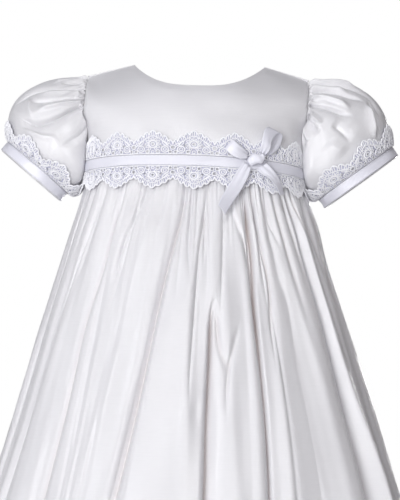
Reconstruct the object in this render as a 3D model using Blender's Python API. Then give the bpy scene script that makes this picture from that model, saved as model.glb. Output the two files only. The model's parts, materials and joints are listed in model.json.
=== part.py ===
"""A silk christening gown, size 6 to 9 months, filled out as if worn and hollow from neck to hem.

Metres, +Z up. The front faces -Y and +X is the wearer's left. The origin is midway between the two
points where the shoulder seams meet the neck. Angles go round the body in degrees: 0 is the centre
front, 90 the wearer's left side seam, -90 the right side seam and 180 the centre back.
"""

import math

import bpy
from mathutils import Vector

# Thickness of the walls, and the gap between pieces that are sewn or laid together
SILK = 0.0012
RIBBON = 0.0010
LACE = 0.0012
GAP = 0.0003

# Bodice: half sizes of the waist, neck and shoulders, and heights above or below the origin
SHOULDER_Z = 0.0006
WAIST_Z = -0.098
WAIST_HALF_WIDTH = 0.101
WAIST_HALF_DEPTH = 0.068
NECK_HALF_WIDTH = 0.059
SHOULDER_HALF_WIDTH = 0.102
SHOULDER_DROP = 0.012
UNDERARM_Z = -0.0685
ARMHOLE_HALF_DEPTH = 0.040
FRONT_NECK = {"drop": 0.0272, "depth": 0.050}
BACK_NECK = {"drop": 0.0150, "depth": 0.045}
SIDE_SEAM = 89.99
CHEST_ROUNDNESS = 3.0
SHOULDER_TURN_START = 0.3
SHOULDER_TURN_POWER = 2.4

# The gown hangs a little askew: the neck sits towards the wearer's left and the waist slopes that way
NECK_LEAN = 0.0065
WAIST_SLOPE = 0.036
SHOULDER_SLOPE = 0.018
SLOPE_FADES_BY = -0.42

# The back opening: the left half laps over the right half
LAP = 0.006
LAP_RAMP = 0.006

# Trims
RIBBON_WIDTH = 0.0095
LACE_WIDTH = 0.0205
LACE_VALLEY = 0.58
WAIST_SCALLOPS = 17
SLEEVE_SCALLOPS = 8
SCALLOP_STEPS = 6
TRIM_LIFT = 0.0006
SKIRT_LACE_LIFT = 0.0011
SLEEVE_LACE_LIFT = 0.0011

# Skirt: its smooth form, by the drop below the waist seam
SKIRT_LENGTH = 0.692
SKIRT_FORM = (
    # drop, half_width, half_depth
    (0.000, 0.1010, 0.0680),
    (0.020, 0.1015, 0.0695),
    (0.070, 0.1172, 0.0840),
    (0.162, 0.1468, 0.1080),
    (0.300, 0.1880, 0.1400),
    (0.500, 0.2450, 0.1790),
    (0.692, 0.2900, 0.2100),
)
SKIRT_ROWS = 12
SKIRT_ROW_POWER = 1.55
GATHERS = 40
COLUMNS_PER_GATHER = 3
GATHER_DEPTH = 0.0026
GATHER_RISE = 0.020
GATHER_FADE = 0.11
FOLD_FADE = 0.10
FOLDS_SETTLE = 0.30
RUNS_TO_HEM = 0.8

# Folds of the front: degrees round the body at the waist and low down, metres in depth (out is
# positive), degrees in width, the drops where a fold starts and ends, and the side that is steep
FRONT_FOLDS = (
    # high, low, depth, width, start, end, steep
    (-68.4, -76.0, -0.0060, 3.5, 0.02, 0.60, 1),
    (-57.1, -64.2, -0.0080, 3.4, 0.03, 0.90, -1),
    (-50.0, -56.0, 0.0060, 4.5, 0.05, 0.90, 0),
    (-42.0, -48.5, -0.0120, 5.5, 0.02, 0.90, 1),
    (-38.3, -39.0, 0.0050, 3.6, 0.14, 0.90, 1),
    (-29.0, -35.0, -0.0060, 4.2, 0.02, 0.35, -1),
    (-20.0, -31.0, 0.0060, 5.0, 0.04, 0.90, 0),
    (-7.8, -23.0, -0.0135, 4.2, 0.02, 0.90, 1),
    (0.5, -6.0, 0.0050, 7.0, 0.05, 0.90, 0),
    (5.2, -1.1, -0.0050, 3.4, 0.05, 0.24, -1),
    (10.0, 3.4, -0.0110, 3.6, 0.13, 0.90, -1),
    (14.5, 9.5, 0.0050, 3.6, 0.03, 0.90, 0),
    (21.0, 15.0, -0.0060, 4.4, 0.06, 0.45, 1),
    (29.3, 22.0, -0.0130, 4.2, 0.01, 0.90, -1),
    (35.0, 31.0, -0.0060, 3.2, 0.08, 0.90, 1),
    (41.0, 39.0, -0.0085, 5.0, 0.06, 0.90, 0),
    (47.0, 45.0, 0.0060, 4.5, 0.05, 0.90, 0),
    (53.0, 50.0, -0.0140, 4.4, 0.00, 0.90, -1),
    (64.2, 63.0, 0.0080, 6.0, 0.04, 0.90, 0),
    (76.0, 76.0, -0.0090, 5.0, 0.05, 0.90, 1),
)
BACK_FOLDS = 16

# Sleeves, both written as the wearer's right one: the hem ring of each, and the pull of the cloth
CUFFS = {
    "right": {"centre": (-0.1506, -0.001, -0.1052), "across": (0.755, 0.0, -0.656), "half_width": 0.0357, "puff": 0.0310},
    "left": {"centre": (-0.1542, -0.001, -0.1044), "across": (0.812, 0.0, -0.584), "half_width": 0.0408, "puff": 0.0215},
}
CUFF_THROUGH = Vector((-0.078, 0.990, 0.120)).normalized()
CUFF_HALF_DEPTH = 0.0320
SLEEVE_COLUMNS = 40
SLEEVE_ROWS = 9
SLEEVE_GATHERS = 20
SLEEVE_GATHER_DEPTH = 0.0022
SLEEVE_CREASES = (
    # turn_start, turn_end, along_start, along_end, depth, width
    (20, 30, 0.02, 0.85, -0.0050, 11),
    (48, 38, 0.05, 0.62, 0.0035, 10),
    (72, 66, 0.02, 0.75, -0.0055, 11),
    (100, 118, 0.04, 0.70, -0.0040, 12),
    (140, 150, 0.10, 0.80, -0.0035, 12),
    (-18, -26, 0.02, 0.80, -0.0045, 11),
    (-62, -52, 0.03, 0.80, -0.0050, 12),
    (-105, -112, 0.04, 0.75, -0.0045, 12),
    (-148, -140, 0.10, 0.80, -0.0035, 12),
)

# Bow: the middle of each length of ribbon, row by row, and the way from it to one edge. out is the
# distance in front of the waist's trims.
BOW_LOOP_LEFT = (
    # x, out, z, half_x, half_out, half_z
    (0.0478, 0.0026, -0.0924, -0.0005, 0.0016, -0.0022),
    (0.0430, 0.0046, -0.0910, -0.0016, 0.0008, -0.0038),
    (0.0376, 0.0056, -0.0885, -0.0022, 0.0000, -0.0042),
    (0.0332, 0.0050, -0.0850, -0.0026, 0.0000, -0.0040),
    (0.0312, 0.0034, -0.0828, -0.0030, 0.0000, -0.0037),
    (0.0322, 0.0016, -0.0836, -0.0028, 0.0000, -0.0038),
    (0.0362, 0.0008, -0.0868, -0.0024, 0.0000, -0.0040),
    (0.0420, 0.0007, -0.0904, -0.0016, 0.0002, -0.0036),
    (0.0472, 0.0008, -0.0928, -0.0005, 0.0004, -0.0022),
)
BOW_LOOP_RIGHT = (
    # x, out, z, half_x, half_out, half_z
    (0.0612, 0.0034, -0.0890, -0.0022, 0.0006, 0.0010),
    (0.0632, 0.0062, -0.0858, -0.0030, 0.0010, 0.0016),
    (0.0646, 0.0082, -0.0812, -0.0032, 0.0014, 0.0028),
    (0.0656, 0.0088, -0.0762, -0.0030, 0.0016, 0.0032),
    (0.0676, 0.0082, -0.0708, -0.0034, 0.0020, 0.0026),
    (0.0714, 0.0062, -0.0680, -0.0038, 0.0022, 0.0018),
    (0.0748, 0.0038, -0.0702, -0.0036, 0.0026, 0.0012),
    (0.0742, 0.0030, -0.0768, -0.0030, 0.0022, 0.0017),
    (0.0712, 0.0024, -0.0832, -0.0027, 0.0016, 0.0014),
    (0.0668, 0.0016, -0.0884, -0.0020, 0.0008, 0.0012),
)
BOW_TAIL_LEFT = (
    # x, out, z, half_x, half_out, half_z
    (0.0480, 0.0030, -0.1008, 0.0024, 0.0006, -0.0028),
    (0.0440, 0.0040, -0.1080, 0.0036, 0.0004, -0.0030),
    (0.0396, 0.0044, -0.1164, 0.0040, 0.0000, -0.0027),
    (0.0350, 0.0046, -0.1248, 0.0041, -0.0006, -0.0023),
    (0.0296, 0.0044, -0.1338, 0.0038, -0.0014, -0.0021),
    (0.0248, 0.0040, -0.1430, 0.0024, -0.0014, -0.0034),
)
BOW_TAIL_RIGHT = (
    # x, out, z, half_x, half_out, half_z
    (0.0606, 0.0034, -0.1010, 0.0040, 0.0000, 0.0026),
    (0.0660, 0.0044, -0.1056, 0.0040, -0.0006, 0.0021),
    (0.0714, 0.0054, -0.1104, 0.0036, -0.0024, 0.0008),
    (0.0746, 0.0060, -0.1160, 0.0030, -0.0034, 0.0002),
    (0.0771, 0.0066, -0.1212, 0.0024, -0.0038, -0.0006),
    (0.0788, 0.0070, -0.1256, 0.0018, -0.0040, 0.0006),
)
BOW_CLEARANCE = 0.0030
KNOT_CENTRE = (0.0560, 0.0026, -0.0946)
KNOT_HALF = (0.0062, 0.0024, 0.0042)

# Buttons of the back opening
BUTTON_RADIUS = 0.005
BUTTON_RISES = (0.83, 0.62, 0.41)
BUTTON_PROFILE = (
    # share of the radius, height
    (0.80, 0.0000),
    (1.00, 0.0012),
    (0.84, 0.0028),
    (0.45, 0.0037),
)
BUTTON_SIDES = 14

COLOURS = {
    # base colour, roughness
    "silk": ((0.93, 0.92, 0.93), 0.42),
    "ribbon": ((0.94, 0.94, 0.96), 0.25),
    "lace": ((0.90, 0.91, 0.96), 0.75),
    "button": ((0.93, 0.92, 0.93), 0.35),
}


def smooth(t):
    """Nought below 0, one above 1, and an even S between."""
    t = min(1.0, max(0.0, t))
    return t * t * (3 - 2 * t)


def mix(a, b, t):
    return a + (b - a) * t


def spaced(start, stop, count):
    """count + 1 numbers, evenly spaced from start to stop."""
    return [mix(start, stop, i / count) for i in range(count + 1)]


def kept(value, ends):
    """The value, kept between the first and last of a list of numbers."""
    low, high = sorted((ends[0], ends[-1]))
    return min(high, max(low, value))


def askew(p):
    """A point of the gown as it hangs: leaning at the neck and sloping at the waist."""
    above = min(1.0, max(0.0, 1 - p.z / WAIST_Z))
    if p.z > WAIST_Z:
        slope = mix(WAIST_SLOPE, SHOULDER_SLOPE, above)
    else:
        slope = WAIST_SLOPE * (1 - smooth((WAIST_Z - p.z) / (WAIST_Z - SLOPE_FADES_BY)))
    sideways = kept(p.x, (-WAIST_HALF_WIDTH, WAIST_HALF_WIDTH))
    return Vector((p.x + NECK_LEAN * above**2, p.y, p.z - slope * sideways))


# ---------------------------------------------------------------- making a wall of cloth


def directions(surface, u, v, us, vs, bounded=False):
    """The way outward from surface(u, v), and the way along us.

    A bounded surface isn't looked at past the ends of us.
    """
    tiny = 0.001
    step_u, step_v = (us[-1] - us[0]) * tiny, (vs[-1] - vs[0]) * tiny
    u_after, u_before = u + step_u, u - step_u
    if bounded:
        u_after, u_before = kept(u_after, us), kept(u_before, us)
    along_u = surface(u_after, v) - surface(u_before, v)
    along_v = surface(u, kept(v + step_v, vs)) - surface(u, kept(v - step_v, vs))
    return along_u.cross(along_v).normalized(), along_u.normalized()


def add_object(name, vertices, faces, material):
    mesh = bpy.data.meshes.new(name)
    mesh.from_pydata([askew(p) for p in vertices], [], faces)
    mesh.shade_smooth()
    mesh.set_sharp_from_angle(angle=math.radians(50))
    mesh.materials.append(material)
    obj = bpy.data.objects.new(name, mesh)
    bpy.context.scene.collection.objects.link(obj)
    return obj


def cloth(
    name, surface, us, vs, wall, material, lift=0.0, square=None, closed=False, bounded=False
):
    """A wall of cloth. Its outer face stands lift above surface(u, v), its inner face a wall further in.

    us run to the right and vs run up as seen from outside. square(u, v) names the directions along
    which the wall's edge at a seam is cut square. A closed wall joins its last column to its first,
    and an open one has its two side edges drawn in by half a gap.
    """
    outer, inner = [], []
    for v in vs:
        for u in us:
            normal, across = directions(surface, u, v, us, vs, bounded)
            for axis in square(u, v) if square else ():
                normal[axis] = 0.0
            normal.normalize()
            point = surface(u, v) + normal * lift
            if not closed and u == us[0]:
                point += across * (GAP / 2)
            if not closed and u == us[-1]:
                point -= across * (GAP / 2)
            outer.append(point)
            inner.append(point - normal * wall)
    columns, rows = len(us), len(vs)

    def at(i, j):
        return i * columns + j % columns

    shift = len(outer)
    faces = []
    across = columns if closed else columns - 1
    for i in range(rows - 1):
        for j in range(across):
            quad = (at(i, j), at(i, j + 1), at(i + 1, j + 1), at(i + 1, j))
            faces.append(quad)
            faces.append(tuple(k + shift for k in reversed(quad)))
    for j in range(across):
        low, low_next = at(0, j), at(0, j + 1)
        top, top_next = at(rows - 1, j), at(rows - 1, j + 1)
        faces.append((low_next, low, low + shift, low_next + shift))
        faces.append((top, top_next, top_next + shift, top + shift))
    if not closed:
        for i in range(rows - 1):
            start, start_up = at(i, 0), at(i + 1, 0)
            end, end_up = at(i, columns - 1), at(i + 1, columns - 1)
            faces.append((start, start_up, start_up + shift, start + shift))
            faces.append((end_up, end, end + shift, end_up + shift))
    return add_object(name, outer + inner, faces, material)


# ---------------------------------------------------------------- bodice


def armhole_edge(rise):
    """Half width, half depth of the opening and height of the bodice's side edge at a rise."""
    tip = SHOULDER_Z - SHOULDER_DROP
    z = mix(WAIST_Z, tip, rise)
    middle, half = (tip + UNDERARM_Z) / 2, (tip - UNDERARM_Z) / 2
    opening = ARMHOLE_HALF_DEPTH * math.sqrt(max(0.0, 1 - ((z - middle) / half) ** 2))
    return mix(WAIST_HALF_WIDTH, SHOULDER_HALF_WIDTH, rise), opening, z


def shoulder_turn(rise):
    """How far the bodice has turned over towards the shoulder seam at a rise."""
    t = max(0.0, (rise - SHOULDER_TURN_START) / (1 - SHOULDER_TURN_START))
    return t**SHOULDER_TURN_POWER


def is_front(angle):
    return abs(angle) <= 90 or abs(angle) >= 270


def bodice(angle, rise):
    """The bodice's outer face. rise is 0 at the waist and 1 at the neckline and shoulder seams."""
    neck = FRONT_NECK if is_front(angle) else BACK_NECK
    side = math.sin(math.radians(angle))
    top_x = side * SHOULDER_HALF_WIDTH
    if abs(top_x) < NECK_HALF_WIDTH:
        curve = math.sqrt(1 - (top_x / NECK_HALF_WIDTH) ** 2)
        top_y, top_z = neck["depth"] * curve, SHOULDER_Z - neck["drop"] * curve
    else:
        past = (abs(top_x) - NECK_HALF_WIDTH) / (SHOULDER_HALF_WIDTH - NECK_HALF_WIDTH)
        top_y, top_z = 0.0, SHOULDER_Z - SHOULDER_DROP * past
    edge_x, opening, _ = armhole_edge(rise)
    depth = mix(WAIST_HALF_DEPTH, neck["depth"], rise**CHEST_ROUNDNESS)
    reach = edge_x / math.sqrt(1 - (opening / depth) ** 2)
    y = depth * math.sqrt(max(0.0, 1 - (side * edge_x / reach) ** 2))
    y = mix(y, top_y, shoulder_turn(rise))
    return Vector((side * edge_x, -y if is_front(angle) else y, mix(WAIST_Z, top_z, rise)))


def bodice_rises():
    """Rises of the bodice's rows: two below the underarm, then even turns round the armhole."""
    tip = SHOULDER_Z - SHOULDER_DROP
    underarm = (UNDERARM_Z - WAIST_Z) / (tip - WAIST_Z)
    steps = 7
    turns = [(1 - math.cos(math.pi * i / steps)) / 2 for i in range(steps + 1)]
    return [0.0, underarm / 2] + [mix(underarm, 1.0, t) for t in turns]


def half_neck_angles(steps):
    """Angles from the centre out to the corner of neck and shoulder, even along the neckline."""
    share = NECK_HALF_WIDTH / SHOULDER_HALF_WIDTH
    return [math.degrees(math.asin(share * math.sin(math.pi / 2 * i / steps))) for i in range(steps + 1)]


def shoulder_angles(steps):
    """Angles from that corner to the side seam, with the corner itself left out."""
    corner = half_neck_angles(1)[-1]
    return spaced(corner, SIDE_SEAM, steps)[1:]


def bodice_square(angle, rise):
    """A bodice wall is cut square at the waist, the shoulder and side seams, and the back edge."""
    _, _, z = armhole_edge(rise)
    side = abs(math.sin(math.radians(angle)))
    axes = []
    if rise == 0:
        axes.append(2)
    if rise == 1 and side * SHOULDER_HALF_WIDTH >= NECK_HALF_WIDTH - GAP:
        axes.append(1)
    if side > 0.999 and z <= UNDERARM_Z + GAP:
        axes.append(1)
    return axes


def lap_lift(angle):
    """How far the left half of the back stands out where it laps over the right half."""
    from_back = math.sin(math.radians(180 - angle)) * WAIST_HALF_WIDTH
    if is_front(angle) or angle < 0:
        return 0.0
    return (SILK + GAP) * smooth((LAP + LAP_RAMP - from_back) / LAP_RAMP)


def seam_gapped(surface):
    """The surface with its shoulder and waist edges drawn in by half a gap."""

    def drawn(angle, rise):
        p = surface(angle, rise)
        towards = -1 if is_front(angle) else 1
        if rise > 0.5:
            p.y += towards * GAP / 2
        if rise < 0.001:
            p.z += GAP / 2
        return p

    return drawn


def lapped_bodice(angle, rise):
    """The bodice's outer face with the lap of the back opening."""
    p = bodice(angle, rise)
    p.y += lap_lift(angle)
    return p


def make_bodice(silk):
    rises = bodice_rises()
    neck, shoulder = half_neck_angles(5), shoulder_angles(5)
    half = neck + shoulder
    front = [-a for a in reversed(half[1:])] + half
    lap_angle = math.degrees(math.asin(LAP / WAIST_HALF_WIDTH))
    ramp_angle = math.degrees(math.asin((LAP + LAP_RAMP) / WAIST_HALF_WIDTH))
    back = [180 - a for a in reversed(half) if a > ramp_angle + 1]
    back_left = back + [180 - ramp_angle, 180 - lap_angle, 180, 180 + lap_angle]
    back_right = [-180 - lap_angle, -180, -180 + lap_angle] + [-a for a in reversed(back)]
    panels = {
        "bodice_front": (bodice, front),
        "bodice_back_left": (lapped_bodice, back_left),
        "bodice_back_right": (bodice, back_right),
    }
    for name, (surface, angles) in panels.items():
        cloth(name, seam_gapped(surface), angles, rises, SILK, silk, square=bodice_square, bounded=True)


# ---------------------------------------------------------------- skirt


def skirt_form(drop, column):
    """Half width (column 1) or half depth (column 2) of the smooth skirt, as a curve through its rows."""
    rows = SKIRT_FORM

    def slope(i):
        a, b = rows[max(i - 1, 0)], rows[min(i + 1, len(rows) - 1)]
        return (b[column] - a[column]) / (b[0] - a[0])

    k = max(i for i in range(len(rows) - 1) if rows[i][0] <= max(drop, 0.0))
    span = rows[k + 1][0] - rows[k][0]
    t = (drop - rows[k][0]) / span
    p0, p1 = rows[k][column], rows[k + 1][column]
    m0, m1 = slope(k) * span, slope(k + 1) * span
    return (
        p0 * (2 * t**3 - 3 * t**2 + 1)
        + m0 * (t**3 - 2 * t**2 + t)
        + p1 * (3 * t**2 - 2 * t**3)
        + m1 * (t**3 - t**2)
    )


def back_folds():
    """Folds of the back and sides, alternately in and out, uneven by a rule."""
    rows = []
    for i in range(BACK_FOLDS):
        high = mix(95, 265, (i + 0.5) / BACK_FOLDS) + 2.0 * math.sin(5.1 * i + 1)
        low = high + 3.0 * math.sin(2.3 * i + 0.4)
        uneven = 0.75 + 0.35 * math.sin(3.7 * i + 2)
        depth = (-0.0115 if i % 2 == 0 else 0.0065) * uneven
        width = 4.4 + 0.9 * math.sin(4.3 * i)
        start = 0.03 + 0.025 * (1 + math.sin(1.9 * i))
        rows.append((high, low, depth, width, start, 0.9, (-1, 0, 1)[i % 3]))
    return rows


def all_folds():
    """Every fold, with angles from -90 to 270."""
    return sorted(list(FRONT_FOLDS) + back_folds())


FOLDS = all_folds()


def drift(angle, drop):
    """Where a thread that leaves the waist at an angle has moved to, lower down."""
    settled = min(1.0, drop / FOLDS_SETTLE)
    long_folds = [(row[0], row[1] - row[0]) for row in FOLDS if row[5] > RUNS_TO_HEM]
    stops = [(-90, 0.0)] + long_folds + [(270, 0.0)]
    place = (angle + 90) % 360 - 90
    for (a, shift_a), (b, shift_b) in zip(stops, stops[1:]):
        if a <= place <= b:
            return angle + settled * mix(shift_a, shift_b, (place - a) / (b - a))
    return angle


def fold_depth(thread, drop):
    """How far the folds carry the cloth out of the smooth form, for a thread at its waist angle."""
    total = 0.0
    for high, _, depth, width, start, end, steep in FOLDS:
        away = (thread - high + 180) % 360 - 180
        if abs(away) > 4 * width:
            continue
        squeeze = 1.5 if away * steep > 0 else 1.0
        grown = smooth((drop - start) / FOLD_FADE) * smooth((end - drop) / FOLD_FADE)
        size = 0.25 + 0.75 * drop / SKIRT_LENGTH if end > RUNS_TO_HEM else 0.45
        total += depth * grown * size * math.exp(-((away * squeeze / width) ** 2))
    return total


def gather_depth(place, drop):
    """The gathers under the waist seam, all of them inward, each dying out at its own length."""
    pitch = 360 / GATHERS
    phase = ((place + 90) / pitch) % 1.0
    index = math.floor((place + 90) / pitch) % GATHERS
    uneven = 0.72 + 0.28 * math.sin(2.9 * index + 0.7)
    fade = GATHER_FADE * (0.75 + 0.45 * math.sin(1.7 * index + 2.0))
    grown = smooth(drop / GATHER_RISE) * (1 - smooth((drop - GATHER_RISE) / fade))
    return -GATHER_DEPTH * uneven * grown * (0.5 - 0.5 * math.cos(2 * math.pi * phase))


def wobble(place):
    """Spaces the gathers unevenly round the waist, and leaves the seams at 90, 180 and 270 in place."""
    return place + 1.0 * math.sin(math.radians(8 * place)) - 0.9 * math.sin(math.radians(12 * place))


def skirt_ring(angle, drop):
    """The smooth skirt at an angle, and the level direction straight out from it."""
    width, depth = skirt_form(drop, 1), skirt_form(drop, 2)
    turn = math.radians(angle)
    point = Vector((width * math.sin(turn), -depth * math.cos(turn), WAIST_Z - drop))
    out = Vector((depth * math.sin(turn), -width * math.cos(turn), 0)).normalized()
    return point, out


def skirt(place, drop):
    """The skirt's outer face. place is an even measure round the waist, in degrees."""
    thread = wobble(place)
    point, out = skirt_ring(drift(thread, drop), drop)
    return point + out * (fold_depth(thread, drop) + gather_depth(place, drop))


def skirt_lining_line(angle, drop):
    """The smooth skirt under the lower lace."""
    return skirt_ring(angle, drop)[0]


def skirt_square(place, drop):
    """A skirt wall is cut square at the waist seam."""
    return (2,) if drop <= GAP else ()


def make_skirt(silk):
    drops = [
        SKIRT_LENGTH * (i / SKIRT_ROWS) ** SKIRT_ROW_POWER for i in range(SKIRT_ROWS, 0, -1)
    ] + [GAP / 2]
    quarter = GATHERS * COLUMNS_PER_GATHER // 4
    panels = {
        "skirt_front": (-90, 90, 2 * quarter),
        "skirt_back_left": (90, 180, quarter),
        "skirt_back_right": (180, 270, quarter),
    }
    for name, (start, stop, columns) in panels.items():
        cloth(name, skirt, spaced(start, stop, columns), drops, SILK, silk, square=skirt_square)


# ---------------------------------------------------------------- waist trims


def scallop(turns):
    """The share of the lace's width at a place along it, one turn to a scallop."""
    t = turns % 1.0
    return LACE_VALLEY + (1 - LACE_VALLEY) * math.sin(math.pi * t) ** 0.6


def trim_angles(steps):
    """Round the waist from the right edge of the back opening to the left one, by way of the front."""
    lap_angle = math.degrees(math.asin((LAP + 2 * GAP) / WAIST_HALF_WIDTH))
    return spaced(-180 + lap_angle, 180 + lap_angle - 0.4, steps)


def waist_lace_turns(angle):
    """Scallops counted from the centre front, where one has its middle."""
    return angle * WAIST_SCALLOPS / 360 + 0.5


def upper_lace(angle, v):
    """The bodice under the upper lace, v running from its straight edge to its scallops."""
    width = LACE_WIDTH * scallop(waist_lace_turns(angle))
    height = RIBBON_WIDTH / 2 + GAP + v * width
    rise = height / (bodice(angle, 1.0).z - WAIST_Z)
    p = bodice(angle, rise)
    p.y += lap_lift(angle)
    return p


def lower_lace(angle, v):
    """The skirt under the lower lace, v running up from its scallops to its straight edge."""
    width = LACE_WIDTH * scallop(waist_lace_turns(angle))
    p = skirt_lining_line(angle, RIBBON_WIDTH / 2 + GAP + (1 - v) * width)
    p.y += lap_lift(angle)
    return p


def waist_band(angle, v):
    """The waist under the ribbon, v running up from its lower edge."""
    p = skirt_ring(angle, 0)[0]
    p.z += (v - 0.5) * RIBBON_WIDTH
    p.y += lap_lift(angle)
    return p


def make_waist_trims(lace, ribbon):
    angles = trim_angles(WAIST_SCALLOPS * SCALLOP_STEPS)
    ends = (0.0, 1.0)
    cloth("waist_lace_upper", upper_lace, angles, ends, LACE, lace, lift=TRIM_LIFT + LACE)
    cloth("waist_lace_lower", lower_lace, angles, ends, LACE, lace, lift=SKIRT_LACE_LIFT + LACE)
    cloth("waist_ribbon", waist_band, trim_angles(60), ends, RIBBON, ribbon, lift=TRIM_LIFT + RIBBON)


# ---------------------------------------------------------------- sleeves


def bezier(p0, p1, p2, p3, t):
    s = 1 - t
    return p0 * s**3 + p1 * (3 * s * s * t) + p2 * (3 * s * t * t) + p3 * t**3


def cuff_axis(cuff):
    """The way out of the sleeve, along the axis of its hem ring."""
    return CUFF_THROUGH.cross(Vector(cuff["across"])).normalized()


def armhole_point(turn):
    """The bodice's armhole edge, a gap out: turn is 0 at the shoulder, 90 in front, 180 underarm."""
    tip = SHOULDER_Z - SHOULDER_DROP
    z = (tip + UNDERARM_Z) / 2 + (tip - UNDERARM_Z) / 2 * math.cos(math.radians(turn))
    rise = (z - WAIST_Z) / (tip - WAIST_Z)
    edge_x, opening, _ = armhole_edge(rise)
    opening *= 1 - shoulder_turn(rise)
    return Vector((-edge_x - GAP, -opening if math.sin(math.radians(turn)) >= 0 else opening, z))


def cuff_spoke(cuff, turn):
    """From the hem ring's axis out to the ring."""
    c, s = math.cos(math.radians(turn)), math.sin(math.radians(turn))
    across = Vector(cuff["across"]).normalized()
    return across * (-c * cuff["half_width"]) - CUFF_THROUGH * (s * CUFF_HALF_DEPTH)


def sleeve_handles(cuff, turn):
    """The four handles of the sleeve's line at a turn, from the armhole to the ribbon's upper edge."""
    c, s = math.cos(math.radians(turn)), math.sin(math.radians(turn))
    start = armhole_point(turn)
    spoke, axis = cuff_spoke(cuff, turn), cuff_axis(cuff)
    end = Vector(cuff["centre"]) + spoke - axis * RIBBON_WIDTH
    pull_start = Vector((-0.0285 - 0.018 * c, -0.016 * s, -0.0085 + 0.0165 * c))
    pull_end = spoke.normalized() * cuff["puff"] * (0.78 + 0.22 * c) - axis * (0.0185 + 0.0145 * c)
    return start, start + pull_start, end + pull_end, end


def sleeve_line(cuff, turn, along):
    """The smooth sleeve: along is 0 at the armhole, 1 at the ribbon's upper edge and 2 at the hem."""
    handles = sleeve_handles(cuff, turn)
    if along <= 1:
        return bezier(*handles, along)
    return handles[3] + cuff_axis(cuff) * (RIBBON_WIDTH * (along - 1))


def sleeve_out(cuff, turn, along):
    """The direction out from the middle of the sleeve."""
    across = sleeve_line(cuff, turn, along) - sleeve_line(cuff, turn + 180, along)
    return across.normalized()


def sleeve_crease_depth(turn, along):
    total = 0.0
    for turn_start, turn_end, along_start, along_end, depth, width in SLEEVE_CREASES:
        t = (along - along_start) / (along_end - along_start)
        if 0 < t < 1:
            away = (turn - mix(turn_start, turn_end, t) + 180) % 360 - 180
            total += depth * math.sin(math.pi * t) ** 0.7 * math.exp(-((away / width) ** 2))
    return total


def sleeve_gather_depth(turn, along):
    """Gathers at both ends of the sleeve, all of them inward."""
    wave = 0.5 + 0.5 * math.cos(math.radians(turn * SLEEVE_GATHERS))
    uneven = 0.7 + 0.3 * math.sin(math.radians(turn * 3.0) + 1)
    armhole = smooth(along / 0.08) * (1 - smooth((along - 0.1) / 0.35)) * (1 if math.cos(math.radians(turn)) > -0.7 else 0.4)
    hem = smooth((along - 0.6) / 0.3) * smooth((1 - along) / 0.08)
    return -SLEEVE_GATHER_DEPTH * uneven * wave * (armhole + 0.6 * hem)


def sleeve(cuff, turn, along):
    """The sleeve's outer face, with its creases and gathers."""
    depth = sleeve_crease_depth(turn, along) + sleeve_gather_depth(turn, along)
    return sleeve_line(cuff, turn, along) + sleeve_out(cuff, turn, along) * depth


def sleeve_up_from_ribbon(cuff, turn, distance):
    """The point of the smooth sleeve that far up from the ribbon, measured along the cloth."""
    steps = 40
    here, walked = sleeve_line(cuff, turn, 1.0), 0.0
    for i in range(1, steps + 1):
        there = sleeve_line(cuff, turn, 1.0 - i / steps)
        length = (there - here).length
        if walked + length >= distance:
            return here.lerp(there, (distance - walked) / length)
        here, walked = there, walked + length
    return here


def sleeve_lace(cuff, turn, v):
    """The inner face of a sleeve's lace, v running down from the scallops to the straight edge.

    The straight edge lies on the ribbon's upper edge, and the rest stands off the sleeve.
    """
    width = LACE_WIDTH * scallop(turn * SLEEVE_SCALLOPS / 360)
    base = sleeve_up_from_ribbon(cuff, turn, (1 - v) * width)

    def bare(t, d):
        return sleeve_up_from_ribbon(cuff, t, d)

    away, _ = directions(bare, turn, (1 - v) * width, (360, 0), (LACE_WIDTH, 0))
    on_ribbon = cuff_spoke(cuff, turn).normalized()
    lift = mix(SLEEVE_LACE_LIFT, RIBBON + 2 * GAP, v)
    return base + away.lerp(on_ribbon, v**3).normalized() * lift


def on_side(side, surface):
    """A sleeve surface on its own side. The left one is mirrored, with its columns the other way."""
    cuff = CUFFS[side]

    def right(turn, along):
        return surface(cuff, turn, along)

    def left(turn, along):
        p = surface(cuff, -turn, along)
        return Vector((-p.x, p.y, p.z))

    return right if side == "right" else left


def make_sleeves(silk, lace, ribbon):
    around = spaced(360, 0, SLEEVE_COLUMNS)[:-1]
    alongs = spaced(0, 1, SLEEVE_ROWS) + [2.0]
    lace_around = spaced(360, 0, SLEEVE_SCALLOPS * SCALLOP_STEPS)[:-1]

    def square(turn, along):
        return (0,) if along == 0 else ()

    for side in CUFFS:
        cloth(f"sleeve_{side}", on_side(side, sleeve), around, alongs, SILK, silk,
              square=square, closed=True)
        cloth(f"sleeve_band_{side}", on_side(side, sleeve_line), around, [1.0, 2.0], RIBBON, ribbon,
              lift=GAP + RIBBON, closed=True)
        cloth(f"sleeve_lace_{side}", on_side(side, sleeve_lace), lace_around, spaced(0, 1, 3), LACE, lace,
              lift=LACE, closed=True)


# ---------------------------------------------------------------- bow and buttons


def before_gown(x, out, z):
    """The point that far out in front of the trims round the waist."""
    drop = max(0.0, WAIST_Z - z)
    width, depth = skirt_form(drop, 1), skirt_form(drop, 2)
    return Vector((x, -depth * math.sqrt(1 - (x / width) ** 2) - BOW_CLEARANCE - out, z))


def ribbon_length(name, rows, material):
    """A length of ribbon through rows of a middle point and the way from it to one edge."""
    middles = [before_gown(x, out, z) for x, out, z, *_ in rows]
    halves = [Vector((x, -out, z)) for *_, x, out, z in rows]

    def surface(t, v):
        i = min(int(t), len(rows) - 2)
        f = t - i
        middle = through(middles, i, f)
        half = through(halves, i, f)
        return middle + half * v

    steps = 2 * (len(rows) - 1)
    lengths = spaced(0, len(rows) - 1, steps)
    return cloth(name, surface, lengths, (-1.0, 1.0), RIBBON, material, bounded=True)


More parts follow.
